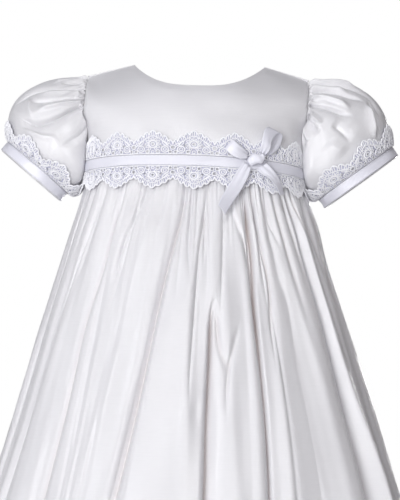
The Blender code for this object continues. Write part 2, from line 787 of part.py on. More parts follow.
def through(points, i, f):
    """A smooth curve through points, f of the way from point i to the next."""
    p0, p1 = points[max(i - 1, 0)], points[i]
    p2, p3 = points[i + 1], points[min(i + 2, len(points) - 1)]
    m1, m2 = (p2 - p0) / 2, (p3 - p1) / 2
    return (
        p1 * (2 * f**3 - 3 * f**2 + 1)
        + m1 * (f**3 - 2 * f**2 + f)
        + p2 * (3 * f**2 - 2 * f**3)
        + m2 * (f**3 - f**2)
    )


def make_knot(material):
    """The ribbon wrapped round the bow's middle: a rounded pillow."""
    rings, sides, power = 7, 14, 0.75
    centre = before_gown(*KNOT_CENTRE)
    vertices, faces = [], []

    def rounded(x):
        return math.copysign(abs(x) ** power, x)

    for i in range(rings):
        tilt = math.pi * (i + 0.5) / rings - math.pi / 2
        for j in range(sides):
            turn = 2 * math.pi * j / sides
            ring = rounded(math.cos(tilt))
            vertices.append(centre + Vector((
                KNOT_HALF[0] * rounded(math.sin(tilt)),
                KNOT_HALF[1] * ring * rounded(math.cos(turn)),
                KNOT_HALF[2] * ring * rounded(math.sin(turn)),
            )))
    for i in range(rings - 1):
        for j in range(sides):
            a, b = i * sides + j, i * sides + (j + 1) % sides
            faces.append((a, b, b + sides, a + sides))
    faces.append(tuple(reversed(range(sides))))
    faces.append(tuple(range((rings - 1) * sides, rings * sides)))
    return add_object("bow_knot", vertices, faces, material)


def make_button(name, rise, material):
    """A low dome standing a gap off the left half of the back, at its centre line."""
    base = lapped_bodice(180, rise)
    out, _ = directions(lapped_bodice, 180, rise, (170, 180), (0.0, 1.0))
    across = Vector((1, 0, 0))
    up = across.cross(out)
    vertices, faces = [], []
    for share, height in BUTTON_PROFILE:
        for j in range(BUTTON_SIDES):
            turn = 2 * math.pi * j / BUTTON_SIDES
            spoke = across * math.cos(turn) + up * math.sin(turn)
            vertices.append(base + out * (height + 2 * GAP) + spoke * (BUTTON_RADIUS * share))
    for i in range(len(BUTTON_PROFILE) - 1):
        for j in range(BUTTON_SIDES):
            a, b = i * BUTTON_SIDES + j, i * BUTTON_SIDES + (j + 1) % BUTTON_SIDES
            faces.append((b, a, a + BUTTON_SIDES, b + BUTTON_SIDES))
    faces.append(tuple(range(BUTTON_SIDES)))
    top = (len(BUTTON_PROFILE) - 1) * BUTTON_SIDES
    faces.append(tuple(reversed(range(top, top + BUTTON_SIDES))))
    return add_object(name, vertices, faces, material)


def make_bow(ribbon):
    ribbon_length("bow_loop_left", BOW_LOOP_LEFT, ribbon)
    ribbon_length("bow_loop_right", BOW_LOOP_RIGHT, ribbon)
    ribbon_length("bow_tail_left", BOW_TAIL_LEFT, ribbon)
    ribbon_length("bow_tail_right", BOW_TAIL_RIGHT, ribbon)
    make_knot(ribbon)


def make_material(name, colour, roughness):
    material = bpy.data.materials.new(name)
    material.use_nodes = True
    shader = material.node_tree.nodes["Principled BSDF"]
    shader.inputs["Base Color"].default_value = (*colour, 1)
    shader.inputs["Roughness"].default_value = roughness
    return material


def main():
    for obj in list(bpy.data.objects):
        bpy.data.objects.remove(obj, do_unlink=True)
    materials = {name: make_material(name, *row) for name, row in COLOURS.items()}
    make_bodice(materials["silk"])
    make_skirt(materials["silk"])
    make_sleeves(materials["silk"], materials["lace"], materials["ribbon"])
    make_waist_trims(materials["lace"], materials["ribbon"])
    make_bow(materials["ribbon"])
    for number, rise in enumerate(BUTTON_RISES, start=1):
        make_button(f"button_{number}", rise, materials["button"])


main()
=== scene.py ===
"""Dresses a christening gown: fine silk over its solids, satin ribbon, corded lace, a bow and stitching.

Metres, +Z up. The front faces -Y and +X is the wearer's left. Angles go round the body in degrees:
0 is the centre front, 90 the wearer's left side seam and 180 the centre back.
"""

import json
import math

import bmesh
import bpy
import numpy as np
from bpy.props import FloatProperty, FloatVectorProperty, PointerProperty
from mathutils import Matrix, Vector

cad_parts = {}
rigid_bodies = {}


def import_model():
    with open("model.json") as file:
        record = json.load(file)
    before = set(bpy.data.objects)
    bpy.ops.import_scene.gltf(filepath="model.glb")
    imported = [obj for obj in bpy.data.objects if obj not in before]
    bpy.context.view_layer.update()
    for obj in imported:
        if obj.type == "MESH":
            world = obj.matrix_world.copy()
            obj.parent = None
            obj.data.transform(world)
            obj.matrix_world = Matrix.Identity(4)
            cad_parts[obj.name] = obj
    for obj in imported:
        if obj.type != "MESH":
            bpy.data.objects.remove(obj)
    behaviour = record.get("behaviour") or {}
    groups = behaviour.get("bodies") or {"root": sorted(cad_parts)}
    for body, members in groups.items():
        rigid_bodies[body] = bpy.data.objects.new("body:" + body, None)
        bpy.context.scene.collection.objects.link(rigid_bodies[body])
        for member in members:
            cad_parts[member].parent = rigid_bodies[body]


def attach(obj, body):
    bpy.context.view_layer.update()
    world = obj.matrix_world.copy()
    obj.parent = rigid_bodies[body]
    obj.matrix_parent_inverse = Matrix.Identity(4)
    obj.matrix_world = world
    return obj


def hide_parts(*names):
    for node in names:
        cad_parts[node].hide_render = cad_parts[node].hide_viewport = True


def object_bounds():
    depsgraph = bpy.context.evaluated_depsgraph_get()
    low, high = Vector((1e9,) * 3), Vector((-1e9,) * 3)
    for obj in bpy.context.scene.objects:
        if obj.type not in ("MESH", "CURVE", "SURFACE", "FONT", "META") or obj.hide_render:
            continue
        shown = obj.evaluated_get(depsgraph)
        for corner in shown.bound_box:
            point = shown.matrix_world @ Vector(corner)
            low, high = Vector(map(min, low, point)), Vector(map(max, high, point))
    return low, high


bl_info = {
    "name": "Christening Gown",
    "version": (1, 0, 0),
    "blender": (4, 5, 0),
    "location": "View3D > Sidebar > Gown",
    "description": "Silk, ribbon, lace and stitching for a christening gown",
    "category": "Object",
}

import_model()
SOLIDS_BOX = [list(corner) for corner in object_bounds()]

MM = 0.001

# ---------------------------------------------------------------- sizes shared with the solids, in metres

SILK_WALL = 0.0012
RIBBON_WALL = 0.0010
LACE_WALL = 0.0012
GAP = 0.0003

SHOULDER_Z = 0.0006
WAIST_Z = -0.098
WAIST_HALF_WIDTH = 0.101
WAIST_HALF_DEPTH = 0.068
NECK_HALF_WIDTH = 0.0605
SHOULDER_HALF_WIDTH = 0.102
SHOULDER_DROP = 0.012
UNDERARM_Z = -0.0685
ARMHOLE_HALF_DEPTH = 0.040
FRONT_NECK = {"drop": 0.0272, "depth": 0.050}
BACK_NECK = {"drop": 0.0150, "depth": 0.045}
SIDE_SEAM = 89.99
CHEST_ROUNDNESS = 3.0
SHOULDER_TURN_START = 0.15
SHOULDER_TURN_POWER = 3.0
BACK_TURN_POWER = 4.6
NECK_CURVE_POWER = 3.0
WAIST_SQUARENESS = 2.8
WAIST_ARCH = 0.0037

NECK_LEAN = 0.0052
WAIST_SLOPE = 0.036
SHOULDER_SLOPE = 0.018
SLOPE_FADES_BY = -0.42

LAP = 0.006
LAP_RAMP = 0.006

RIBBON_WIDTH = 0.0095
LACE_WIDTH = 0.0205
LACE_VALLEY = 0.50
LACE_FLOWER_UP = 0.0092
NET_ROWS = 22
NET_COLUMNS = 46
WAIST_SCALLOPS = 17
SLEEVE_SCALLOPS = 8
TRIM_LIFT = 0.0006
SKIRT_LACE_LIFT = 0.0011
SLEEVE_LACE_LIFT = 0.0011
LACE_SUNK = 0.0006

SKIRT_LENGTH = 0.692
SKIRT_FORM = (
    # drop, half_width, half_depth
    (0.000, 0.1010, 0.0680),
    (0.020, 0.1015, 0.0695),
    (0.070, 0.1172, 0.0840),
    (0.162, 0.1468, 0.1080),
    (0.300, 0.1880, 0.1400),
    (0.500, 0.2450, 0.1790),
    (0.692, 0.2900, 0.2100),
)
GATHERS = 40
GATHER_DEPTH = 0.0026
GATHER_RISE = 0.020
GATHER_FADE = 0.11
FOLD_FADE = 0.10
FINE_GATHERS = 130
CRISP_WIDTH = 0.0026
CREASE_LINE_WIDTH = 0.0011
FOLDS_SETTLE = 0.30
RUNS_TO_HEM = 0.8
SOFT_FOLD_SHARE = 0.66

# ---------------------------------------------------------------- folds, with their lengths in millimetres

# Folds of the front: degrees round the body at the waist and low down, depth (out is positive), degrees
# in width, the drops where a fold starts and ends, and the side that is steep
FRONT_FOLDS = (
    # high, low, depth, width, start, end, steep
    (-68.4, -76, -2.2, 3.5, 20, 600, 1),
    (-57.1, -64.2, -3.4, 3.8, 30, 900, -1),
    (-50, -56, 2.8, 5, 50, 900, 0),
    (-42, -48.5, -6.4, 6, 20, 900, 1),
    (-38.3, -39, 2.4, 4, 140, 900, 1),
    (-29, -35, -3, 4.4, 20, 350, -1),
    (-20, -31, 3.4, 5.5, 40, 900, 0),
    (-7.8, -23, -10, 4.6, 20, 900, 1),
    (0.5, -6, 5, 7, 50, 900, 0),
    (5.2, -1.1, -5, 3.4, 50, 240, -1),
    (10, 3.4, -11, 3.6, 130, 900, -1),
    (14.5, 9.5, 5, 3.6, 30, 900, 0),
    (21, 15, -6, 4.4, 60, 450, 1),
    (30.6, 23.4, -9, 4.4, 10, 900, 1),
    (35.6, 31, -1.6, 3.2, 80, 900, 1),
    (38, 36, -5, 5, 60, 900, 0),
    (50.5, 48.5, 15, 7.5, 50, 900, 1),
    (56.8, 54.2, -8.4, 3.4, 0, 900, -1),
    (64.2, 63, 9, 5, 40, 900, 0),
    (76, 76, -9, 5, 50, 900, 1),
)
BACK_FOLDS = 16
BACK_CREASES = 38

# Crisp creases of the front: depth (in is negative), width towards the wearer's right and left, and
# points of (degrees round the body at the waist, drop)
FRONT_CREASES = (
    # depth, right_width, left_width, points
    (-1.4, 1, 2, ((-70, 20), (-69, 120), (-69.5, 340), (-70, 600))),
    (-1.6, 2.2, 1, ((-49.8, 30), (-52.8, 60), (-55.2, 120), (-55.4, 200), (-56.4, 340), (-57, 620))),
    (-3.6, 4.4, 1.2, ((-36.2, 20), (-38.8, 60), (-39.6, 100), (-40.8, 150), (-40.4, 220),
        (-40.8, 340), (-41, 700))),
    (1.6, 3, 5, ((-36, 160), (-35.6, 230), (-34, 300), (-33, 500))),
    (-2, 1.3, 3.4, ((-23.2, 20), (-24.4, 40), (-28, 60), (-30.6, 80), (-31, 110))),
    (-4.4, 4.2, 1.1, ((-2.8, 20), (-3.8, 50), (-5.4, 80), (-6.8, 120), (-7.1, 200),
        (-7.2, 340), (-7.4, 700))),
    (-2.2, 1.5, 1.7, ((-0.1, 20), (-0.3, 50), (-0.4, 80), (0.8, 105))),
    (-2.2, 1.3, 6, ((7.2, 20), (6, 50), (4.2, 80), (3.4, 120), (3, 180), (3.3, 210), (5.4, 230))),
    (-1.4, 1.2, 1.2, ((5.8, 50), (6.2, 70), (6, 90))),
    (-1.8, 2, 9, ((15.2, 30), (14.2, 70), (13, 110), (12.2, 140))),
    (-5, 1.1, 5.6, ((13.4, 115), (10.4, 128), (9.2, 145), (9, 180), (8.8, 240), (9.4, 340), (9.4, 700))),
    (-1.8, 1.2, 2, ((11, 140), (11.8, 166), (14, 186))),
    (-2, 2, 3.2, ((19.2, 150), (15.6, 176), (14, 200), (13.8, 230))),
    (-3.8, 2.8, 1.3, ((26.8, 20), (27.2, 50), (27.6, 90), (26.6, 130), (27, 190),
        (27.6, 260), (27.4, 340), (26.2, 700))),
    (-2.2, 1.1, 2.2, ((28.2, 20), (26.8, 50), (26, 90), (25.8, 140), (26.6, 200))),
    (-1.8, 2.2, 1.1, ((19, 40), (21.4, 58), (23.8, 72), (25, 100))),
    (-2.8, 1.2, 3.2, ((32.4, 20), (31.2, 50), (32.4, 80), (33.3, 110), (32.2, 150), (32, 190))),
    (-1, 1, 2, ((33, 120), (33.5, 190), (33.9, 270), (34, 450))),
    (-1.2, 6, 3, ((35.2, 80), (39, 125), (37.8, 175), (38.2, 260), (39, 600))),
    (-2.2, 1.2, 2.2, ((38.6, 20), (38.2, 40), (38.4, 56), (41, 70))),
    (-7.6, 2, 5.2, ((53.8, 10), (55.4, 45), (55, 80), (55.6, 120), (56.9, 180), (57.2, 270), (58, 700))),
    (9.2, 4.2, 5.2, ((60.8, 20), (58.4, 50), (58.4, 90), (59.2, 140), (60, 210), (62.4, 280), (63.6, 450))),
    (-6.2, 4.4, 3, ((73.2, 20), (68.4, 60), (65.8, 110), (67.8, 160), (70, 240), (71, 550))),
)

# Small dents of the front: degrees round the body at the waist, drop, depth, and width and height
FRONT_DENTS = (
    # at, low, depth, wide, tall
    (-43.8, 48, -1.2, 3, 6),
    (-44.2, 66, -1.2, 6, 2.2),
    (-31, 104, -1.4, 3, 5),
    (-29.5, 50, 1, 3.4, 9),
    (-20, 82, 0.8, 7, 15),
    (-15.2, 44, -1.6, 6, 13),
    (-8.4, 52, -1.8, 3.6, 17),
    (-8.8, 90, 1.2, 6, 16),
    (-1.5, 128, 1, 6, 24),
    (-21.2, 154, -1, 12, 24),
    (-7.5, 154, 1, 8, 30),
    (18.2, 110, -1.4, 6, 30),
    (13.8, 184, -1.4, 3.6, 6),
    (5.6, 226, -1.8, 3.6, 7),
    (36.5, 60, -1.4, 3.4, 12),
    (38.6, 70, -1.6, 5, 4),
    (30.8, 66, 1, 2.4, 16),
    (36, 100, -1.2, 6, 16),
    (88, 46, 4.6, 30, 30),
    (262, 240, -3.4, 40, 110),
)

# Short gathers that show below the lace: degrees round the body at the waist and 100 mm lower, depth,
# degrees in width, and length
SHORT_GATHERS = (
    # high, low, depth, width, length
    (-66, -70, 0.5, 1.1, 70),
    (-57, -60, 0.7, 1, 90),
    (-48, -50, 1.4, 1.1, 130),
    (-41, -44, 0.8, 1, 60),
    (-35, -37, 1, 0.9, 70),
    (-25, -29, 1.8, 1.1, 120),
    (-18, -20, 1, 0.9, 80),
    (-12, -14, 1.4, 0.9, 90),
    (-3.5, -3, 2.4, 1, 110),
    (3, 2, 2, 0.9, 90),
    (8, 7.5, 2.6, 0.9, 100),
    (17, 16, 1.8, 0.9, 70),
    (25.5, 25, 2.8, 0.9, 110),
    (32, 33, 3.2, 0.9, 130),
    (38, 39, 2.6, 0.9, 100),
    (43.5, 45, 3.2, 0.9, 140),
    (49, 50, 2.6, 0.9, 100),
    (57.5, 59.5, 3.6, 1.1, 160),
    (63, 66, 2.6, 1, 120),
    (70, 73, 3.4, 1.2, 160),
)

CUFFS = {
    "right": {
        "centre": (-0.1506, -0.001, -0.1052), "across": (0.755, 0.0, -0.656), "half_width": 0.0357,
        "puff": 0.0310, "shaped": 1.0,
    },
    "left": {
        "centre": (-0.1542, -0.001, -0.1044), "across": (0.812, 0.0, -0.584), "half_width": 0.0408,
        "puff": 0.0215, "shaped": 0.0,
    },
}
CUFF_HALF_DEPTH = 0.0320
UNDERARM_REACH = -0.0985
SLEEVE_CORNER = 0.0078

# Creases of the sleeves. Each runs through points of (degrees round the sleeve from the shoulder,
# hundredths of the way from the armhole to the ribbon). A valley has a depth below nought, and the steep
# side is -1 towards the shoulder or 1 towards the front's underside.
SLEEVE_CREASES = {
    "right": (
        # depth, width, steep, points
        (-3, 4, 1, ((62, 0), (56, 14), (42, 34), (32, 48), (24, 62), (6, 74))),
        (2, 3.4, -1, ((69, 6), (60, 18), (50, 32), (40, 44))),
        (-1.6, 5.2, -1, ((79, 10), (64, 32), (50, 48), (40, 58))),
        (3.4, 4, 1, ((91, 4), (80, 22), (70, 38), (62, 50), (56, 60))),
        (-4, 6.6, -1, ((98, 8), (88, 34), (76, 52), (64, 64), (48, 71), (32, 76))),
        (1.8, 4, -1, ((96, 52), (80, 66), (62, 75), (44, 82))),
        (2, 3.6, 0, ((38, 52), (52, 60), (60, 63))),
        (-2, 7, 1, ((134, 6), (118, 34), (100, 62))),
        (-2.6, 4, -1, ((168, 36), (158, 56), (152, 72))),
        (2.2, 4.4, -1, ((34, 2), (30, 14), (26, 28))),
        (-2.2, 3, 1, ((42, 0), (40, 12), (36, 22))),
        (-3.2, 5, 0, ((-30, 4), (-34, 30), (-48, 66))),
        (2.2, 5, 0, ((-44, 6), (-54, 34), (-62, 60))),
        (-3.4, 5.6, 1, ((-66, 4), (-78, 34), (-82, 70))),
        (-3, 5, -1, ((-110, 4), (-116, 36), (-104, 66))),
        (-2.4, 5, 0, ((-150, 10), (-146, 40), (-136, 70))),
        (-2.6, 4.2, 1, ((8, 2), (4, 24), (-6, 48))),
    ),
    "left": (
        # depth, width, steep, points
        (-3.2, 3.8, 1, ((44, 0), (38, 12), (32, 26), (26, 42), (20, 54), (28, 74))),
        (-2.2, 3, -1, ((57, 0), (50, 18), (44, 36), (36, 52))),
        (2.6, 3.6, -1, ((50, 2), (45, 16), (38, 34))),
        (3.4, 4.2, 1, ((77, 2), (68, 10), (64, 28), (58, 46))),
        (-3.2, 5.2, -1, ((85, 3), (78, 22), (68, 42), (62, 52))),
        (3, 3.2, -1, ((36, 52), (43, 66), (47, 76), (50, 86))),
        (-2.2, 4, 1, ((28, 52), (35, 66), (40, 80))),
        (2.6, 3.2, 1, ((96, 1), (101, 12), (98, 28))),
        (-3.4, 4.8, -1, ((103, 2), (109, 14), (104, 32))),
        (2.6, 3.2, 1, ((117, 1), (121, 16), (118, 32))),
        (-3.6, 5, -1, ((124, 1), (129, 16), (124, 34))),
        (-2, 6, 1, ((90, 36), (83, 54), (79, 68))),
        (1.8, 5, 0, ((102, 46), (94, 62), (88, 74))),
        (-2.2, 4.4, -1, ((172, 26), (160, 44), (150, 60))),
        (2, 4, 0, ((24, 4), (20, 20), (14, 38))),
        (-3.2, 5, 0, ((-28, 4), (-36, 30), (-46, 66))),
        (2.2, 5, 0, ((-46, 6), (-54, 34), (-60, 60))),
        (-3.4, 5.6, 1, ((-70, 4), (-76, 34), (-84, 70))),
        (-3, 5, -1, ((-108, 4), (-114, 36), (-106, 66))),
        (-2.4, 5, 0, ((-146, 10), (-142, 40), (-134, 70))),
        (-2.6, 4.2, 1, ((10, 2), (4, 24), (-4, 50))),
    ),
}
# Tufts of the gathered seam at the armhole, in degrees round the sleeve.
SLEEVE_TUFTS = {
    "right": (14, 30, 46, 55, 66, 78, 87, 97, 107, 122, 138),
    "left": (8, 22, 36, 49, 60, 69, 81, 92, 104, 113, 126, 140),
}
TUFT_HEIGHT = 0.0021
SLEEVE_GATHERS = 34

# The bow's lengths of ribbon: the middle of each row, and the way from it to one edge. out is the
# distance in front of the waist's trims.
BOW = {
    # x, out, z, half_x, half_out, half_z
    "bow_loop_left": (
        (47.8, 2.6, -92.4, -0.5, 1.6, -2.2),
        (43, 4.6, -91, -1.6, 0.8, -3.8),
        (37.6, 5.6, -88.5, -2.2, 0, -4.2),
        (33.2, 5, -85, -2.6, 0, -4),
        (31.2, 3.4, -82.8, -3, 0, -3.7),
        (32.2, 1.6, -83.6, -2.8, 0, -3.8),
        (36.2, 0.8, -86.8, -2.4, 0, -4),
        (42, 0.7, -90.4, -1.6, 0.2, -3.6),
        (47.2, 0.8, -92.8, -0.5, 0.4, -2.2),
    ),
    "bow_loop_right": (
        (61.2, 3.4, -89, -2.2, 0.6, 1),
        (63.2, 6.2, -85.8, -3, 1, 1.6),
        (64.6, 8.2, -81.2, -3.2, 1.4, 2.8),
        (65.6, 8.8, -76.2, -3, 1.6, 3.2),
        (67.6, 8.2, -70.8, -3.4, 2, 2.6),
        (71.4, 6.2, -68, -3.8, 2.2, 1.8),
        (74.8, 3.8, -70.2, -3.6, 2.6, 1.2),
        (74.2, 3, -76.8, -3, 2.2, 1.7),
        (71.2, 2.4, -83.2, -2.7, 1.6, 1.4),
        (66.8, 1.6, -88.4, -2, 0.8, 1.2),
    ),
    "bow_tail_left": (
        (48, 3, -100.8, 2.4, 0.6, -2.8),
        (44, 4, -108, 3.6, 0.4, -3),
        (39.6, 4.4, -116.4, 4, 0, -2.7),
        (35, 4.6, -124.8, 4.1, -0.6, -2.3),
        (29.6, 4.4, -133.8, 3.8, -1.4, -2.1),
        (24.8, 4, -143, 2.4, -1.4, -3.4),
    ),
    "bow_tail_right": (
        (60.6, 3.4, -101, 4, 0, 2.6),
        (66, 4.4, -105.6, 4, -0.6, 2.1),
        (71.4, 5.4, -110.4, 3.6, -2.4, 0.8),
        (74.6, 6, -116, 3, -3.4, 0.2),
        (77.1, 6.6, -121.2, 2.4, -3.8, -0.6),
        (78.8, 7, -125.6, 1.8, -4, 0.6),
    ),
}
BOW_CLEARANCE = 0.0030
BOW_RIBBON_SHARE = 1.22
KNOT_CENTRE = (0.0556, 0.0032, -0.0950)
KNOT_HALF = (0.0080, 0.0027, 0.0050)

BUTTON_RADIUS = 0.005
BUTTON_RISES = (0.83, 0.62, 0.41)

FLOOR_HALF = 6.0
CAMERA_ACROSS = 0.0055
CAMERA_HEIGHT = -0.382
CAMERA_AIM_HEIGHT = -0.171

# ---------------------------------------------------------------- small helpers


def smooth(t):
    """Nought below 0, one above 1, and an even S between."""
    t = np.clip(t, 0.0, 1.0)
    return t * t * (3 - 2 * t)


def mix(a, b, t):
    return a + (b - a) * t


def bell(x, power=2):
    """One at nought, falling away evenly on both sides."""
    return np.exp(-(np.abs(x) ** power))


def hermite(a, slope_a, b, slope_b, t):
    """The cubic from a to b with a given slope at each, at a share t of the way."""
    return (
        a * (2 * t**3 - 3 * t**2 + 1)
        + slope_a * (t**3 - 2 * t**2 + t)
        + b * (3 * t**2 - 2 * t**3)
        + slope_b * (t**3 - t**2)
    )


def through(rows, count):
    """A smooth curve through rows of numbers, with count points to each step."""
    rows = np.asarray(rows, float)
    wide = np.concatenate([rows[:1], rows, rows[-1:]])
    slope = (wide[2:] - wide[:-2])[:, None] / 2
    share = (np.arange(count) / count)[:, None]
    a, b = rows[:-1, None], rows[1:, None]
    steps = hermite(a, slope[:-1], b, slope[1:], share)
    return np.concatenate([steps.reshape(-1, rows.shape[1]), rows[-1:]])


def vec(values):
    return np.array(values, float)


def stack(*parts):
    """Points from their x, y and z."""
    return np.stack(np.broadcast_arrays(*parts), axis=-1).astype(float)


def unit(v):
    return v / np.maximum(np.linalg.norm(v, axis=-1, keepdims=True), 1e-12)


def rad(degrees):
    return np.radians(degrees)


def turned_away(a, b):
    """The angle from b to a, between -180 and 180."""
    return (a - b + 180) % 360 - 180


def askew(points):
    """Points of the gown as it hangs: leaning at the neck and sloping at the waist."""
    x, y, z = points[..., 0], points[..., 1], points[..., 2]
    above = np.clip(1 - z / WAIST_Z, 0, 1)
    slope = np.where(
        z > WAIST_Z,
        mix(WAIST_SLOPE, SHOULDER_SLOPE, above),
        WAIST_SLOPE * (1 - smooth((WAIST_Z - z) / (WAIST_Z - SLOPE_FADES_BY))),
    )
    sideways = np.clip(x, -WAIST_HALF_WIDTH, WAIST_HALF_WIDTH)
    return stack(x + NECK_LEAN * above**2, y, z - slope * sideways)


def normals_of(grid, closed=False):
    """The way outward at each point of a grid whose columns run right and rows run up."""
    if closed:
        wide = np.concatenate([grid[:, -1:], grid, grid[:, :1]], axis=1)
        along = (wide[:, 2:] - wide[:, :-2]) / 2
    else:
        along = np.gradient(grid, axis=1)
    up = np.gradient(grid, axis=0)
    return unit(np.cross(along, up))


def waves(u, v, seed, scale, count=14):
    """A soft uneven surface from a few sine waves, about -1 to 1. scale is (u, v) in their own units."""
    rng = np.random.default_rng(seed)
    total = 0.0
    for _ in range(count):
        turn, phase = rng.uniform(0, 2 * math.pi, 2)
        size = rng.uniform(0.6, 1.6)
        along = math.cos(turn) * u / scale[0] + math.sin(turn) * v / scale[1]
        total = total + np.sin(size * along * 2 * math.pi + phase)
    return total / math.sqrt(count)


# ---------------------------------------------------------------- meshes


def linked(name, data):
    """A new object in the scene, at the origin."""
    obj = bpy.data.objects.new(name, data)
    bpy.context.scene.collection.objects.link(obj)
    return obj


def new_object(name, vertices, faces, materials, uv=None, shade=None):
    """A smooth-shaded mesh object. uv holds a pair for each vertex, and shade a number for each vertex: the
    strength of the painted shade in the silk's creases.
    """
    mesh = bpy.data.meshes.new(name)
    mesh.from_pydata(np.asarray(vertices).tolist(), [], faces)
    if uv is not None:
        layer = mesh.uv_layers.new(name="UVMap")
        corner = np.zeros(len(mesh.loops), np.int32)
        mesh.loops.foreach_get("vertex_index", corner)
        layer.data.foreach_set("uv", np.asarray(uv, np.float32)[corner].ravel())
    # fold_shade holds how strongly painted shade darkens and warms the silk's colour at each vertex.
    if shade is not None:
        layer = mesh.attributes.new("fold_shade", "FLOAT", "POINT")
        layer.data.foreach_set("value", np.asarray(shade, np.float32).ravel())
    for material in materials:
        mesh.materials.append(material)
    mesh.shade_smooth()
    return linked(name, mesh)


def grid_faces(rows, columns, closed=False):
    """Quads between neighbouring points of a grid, facing outward."""
    across = np.arange(columns if closed else columns - 1)
    i, j = np.meshgrid(np.arange(rows - 1), across, indexing="ij")
    here, after = i * columns + j, i * columns + (j + 1) % columns
    quads = np.stack([here, after, after + columns, here + columns], axis=-1)
    return quads.reshape(-1, 4).tolist()


def measured_uv(grid):
    """UV in metres along the cloth: u by the widest of the rows, v by the mean of the columns."""
    steps = np.linalg.norm(np.diff(grid, axis=0), axis=-1)
    v = np.concatenate([[0], np.cumsum(steps.mean(axis=1))])
    across = np.linalg.norm(np.diff(grid, axis=1), axis=-1)
    u = np.concatenate([[0], np.cumsum(across.max(axis=0))])
    return stack(u[None, :], v[:, None])


def turn_under(grid, edge, radius, steps, closed=False):
    """The grid with one edge rolled over and run back on the inside, a diameter further in.

    edge is "top", "bottom", "left" or "right" as seen from outside. steps is the number of the
    grid's own rows that the turned cloth runs back over.
    """
    normals = normals_of(grid, closed)
    if edge in ("left", "right"):
        swapped = np.swapaxes(grid, 0, 1)
        inward = np.swapaxes(normals, 0, 1)
    else:
        swapped, inward = grid, normals
    if edge in ("bottom", "left"):
        swapped, inward = swapped[::-1], inward[::-1]
    last, before = swapped[-1], swapped[-2]
    out = unit(last - before)
    roll = []
    for turn in (45, 90, 135, 180):
        s, c = math.sin(rad(turn)), math.cos(rad(turn))
        roll.append(last + out * (radius * s) - inward[-1] * (radius * (1 - c)))
    back = [swapped[-k] - inward[-k] * (2 * radius) for k in range(2, steps + 2)]
    swapped = np.concatenate([swapped, np.array(roll + back)])
    if edge in ("bottom", "left"):
        swapped = swapped[::-1]
    return np.swapaxes(swapped, 0, 1) if edge in ("left", "right") else swapped


def sheet_object(name, grid, materials, closed=False, uv=None, shade=None):
    """An open sheet of cloth from a grid, as the gown hangs."""
    uv = measured_uv(grid) if uv is None else uv
    faces = grid_faces(*grid.shape[:2], closed)
    return new_object(name, askew(grid).reshape(-1, 3), faces, materials, uv.reshape(-1, 2), shade)


def capped_object(name, grid, materials, uv):
    """A closed solid of rings, with one face over the first ring and one over the last."""
    rows, columns = grid.shape[:2]
    faces = grid_faces(rows, columns, closed=True)
    faces.append(tuple(reversed(range(columns))))
    faces.append(tuple(range((rows - 1) * columns, rows * columns)))
    return new_object(name, askew(grid).reshape(-1, 3), faces, materials, uv.reshape(-1, 2))


def walled_object(name, grid, thickness, materials, closed=False):
    """A closed thin wall from a grid, which is its outer face."""
    rows, columns = grid.shape[:2]
    inner = grid - normals_of(grid, closed) * thickness
    count = rows * columns
    faces = grid_faces(rows, columns, closed)
    faces += [tuple(k + count for k in reversed(quad)) for quad in faces]
    top = (rows - 1) * columns
    for j in range(columns if closed else columns - 1):
        k = (j + 1) % columns
        faces.append((k, j, j + count, k + count))
        faces.append((top + j, top + k, top + k + count, top + j + count))
    if not closed:
        for i in range(rows - 1):
            a, b = i * columns, (i + 1) * columns
            faces.append((a, b, b + count, a + count))
            a, b = a + columns - 1, b + columns - 1
            faces.append((b, a, a + count, b + count))
    uv = np.concatenate([measured_uv(grid).reshape(-1, 2)] * 2)
    points = np.concatenate([grid.reshape(-1, 3), inner.reshape(-1, 3)])
    return new_object(name, askew(points), faces, materials, uv)


def finish_piece(obj, slot, *nodes):
    """A piece that moves with the gown and stands for its solids. slot is not used."""
    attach(obj, "root")
    if nodes:
        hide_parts(*nodes)


# ---------------------------------------------------------------- bodice


def rounded(share, power):
    """The other coordinate of a unit round: a circle at power 2, and squarer above it."""
    return np.maximum(0.0, 1 - np.minimum(1.0, np.abs(share)) ** power) ** (1 / power)


def armhole_share(rise):
    """The squared share of the armhole's half depth at a rise, below nought under the arm."""
    tip = SHOULDER_Z - SHOULDER_DROP
    middle, half = (tip + UNDERARM_Z) / 2, (tip - UNDERARM_Z) / 2
    return 1 - ((mix(WAIST_Z, tip, rise) - middle) / half) ** 2


def armhole_edge(rise):
    """Half width of the bodice and half depth of the armhole at a rise."""
    opening = ARMHOLE_HALF_DEPTH * np.sqrt(np.maximum(0.0, armhole_share(rise)))
    return mix(WAIST_HALF_WIDTH, SHOULDER_HALF_WIDTH, rise), opening


def shoulder_turn(rise, power=SHOULDER_TURN_POWER):
    """How far the bodice has turned over towards the shoulder seam at a rise."""
    t = np.maximum(0.0, (rise - SHOULDER_TURN_START) / (1 - SHOULDER_TURN_START))
    return t**power


def is_front(angle):
    return (np.abs(angle) <= 90) | (np.abs(angle) >= 270)


def shoulder_top(x):
    """Height of the shoulders' line, which runs on smoothly over the neck opening."""
    steep, soft = 0.299, 0.03
    at_neck = SHOULDER_Z + steep * math.hypot(NECK_HALF_WIDTH, soft)
    return at_neck - steep * np.hypot(x, soft)


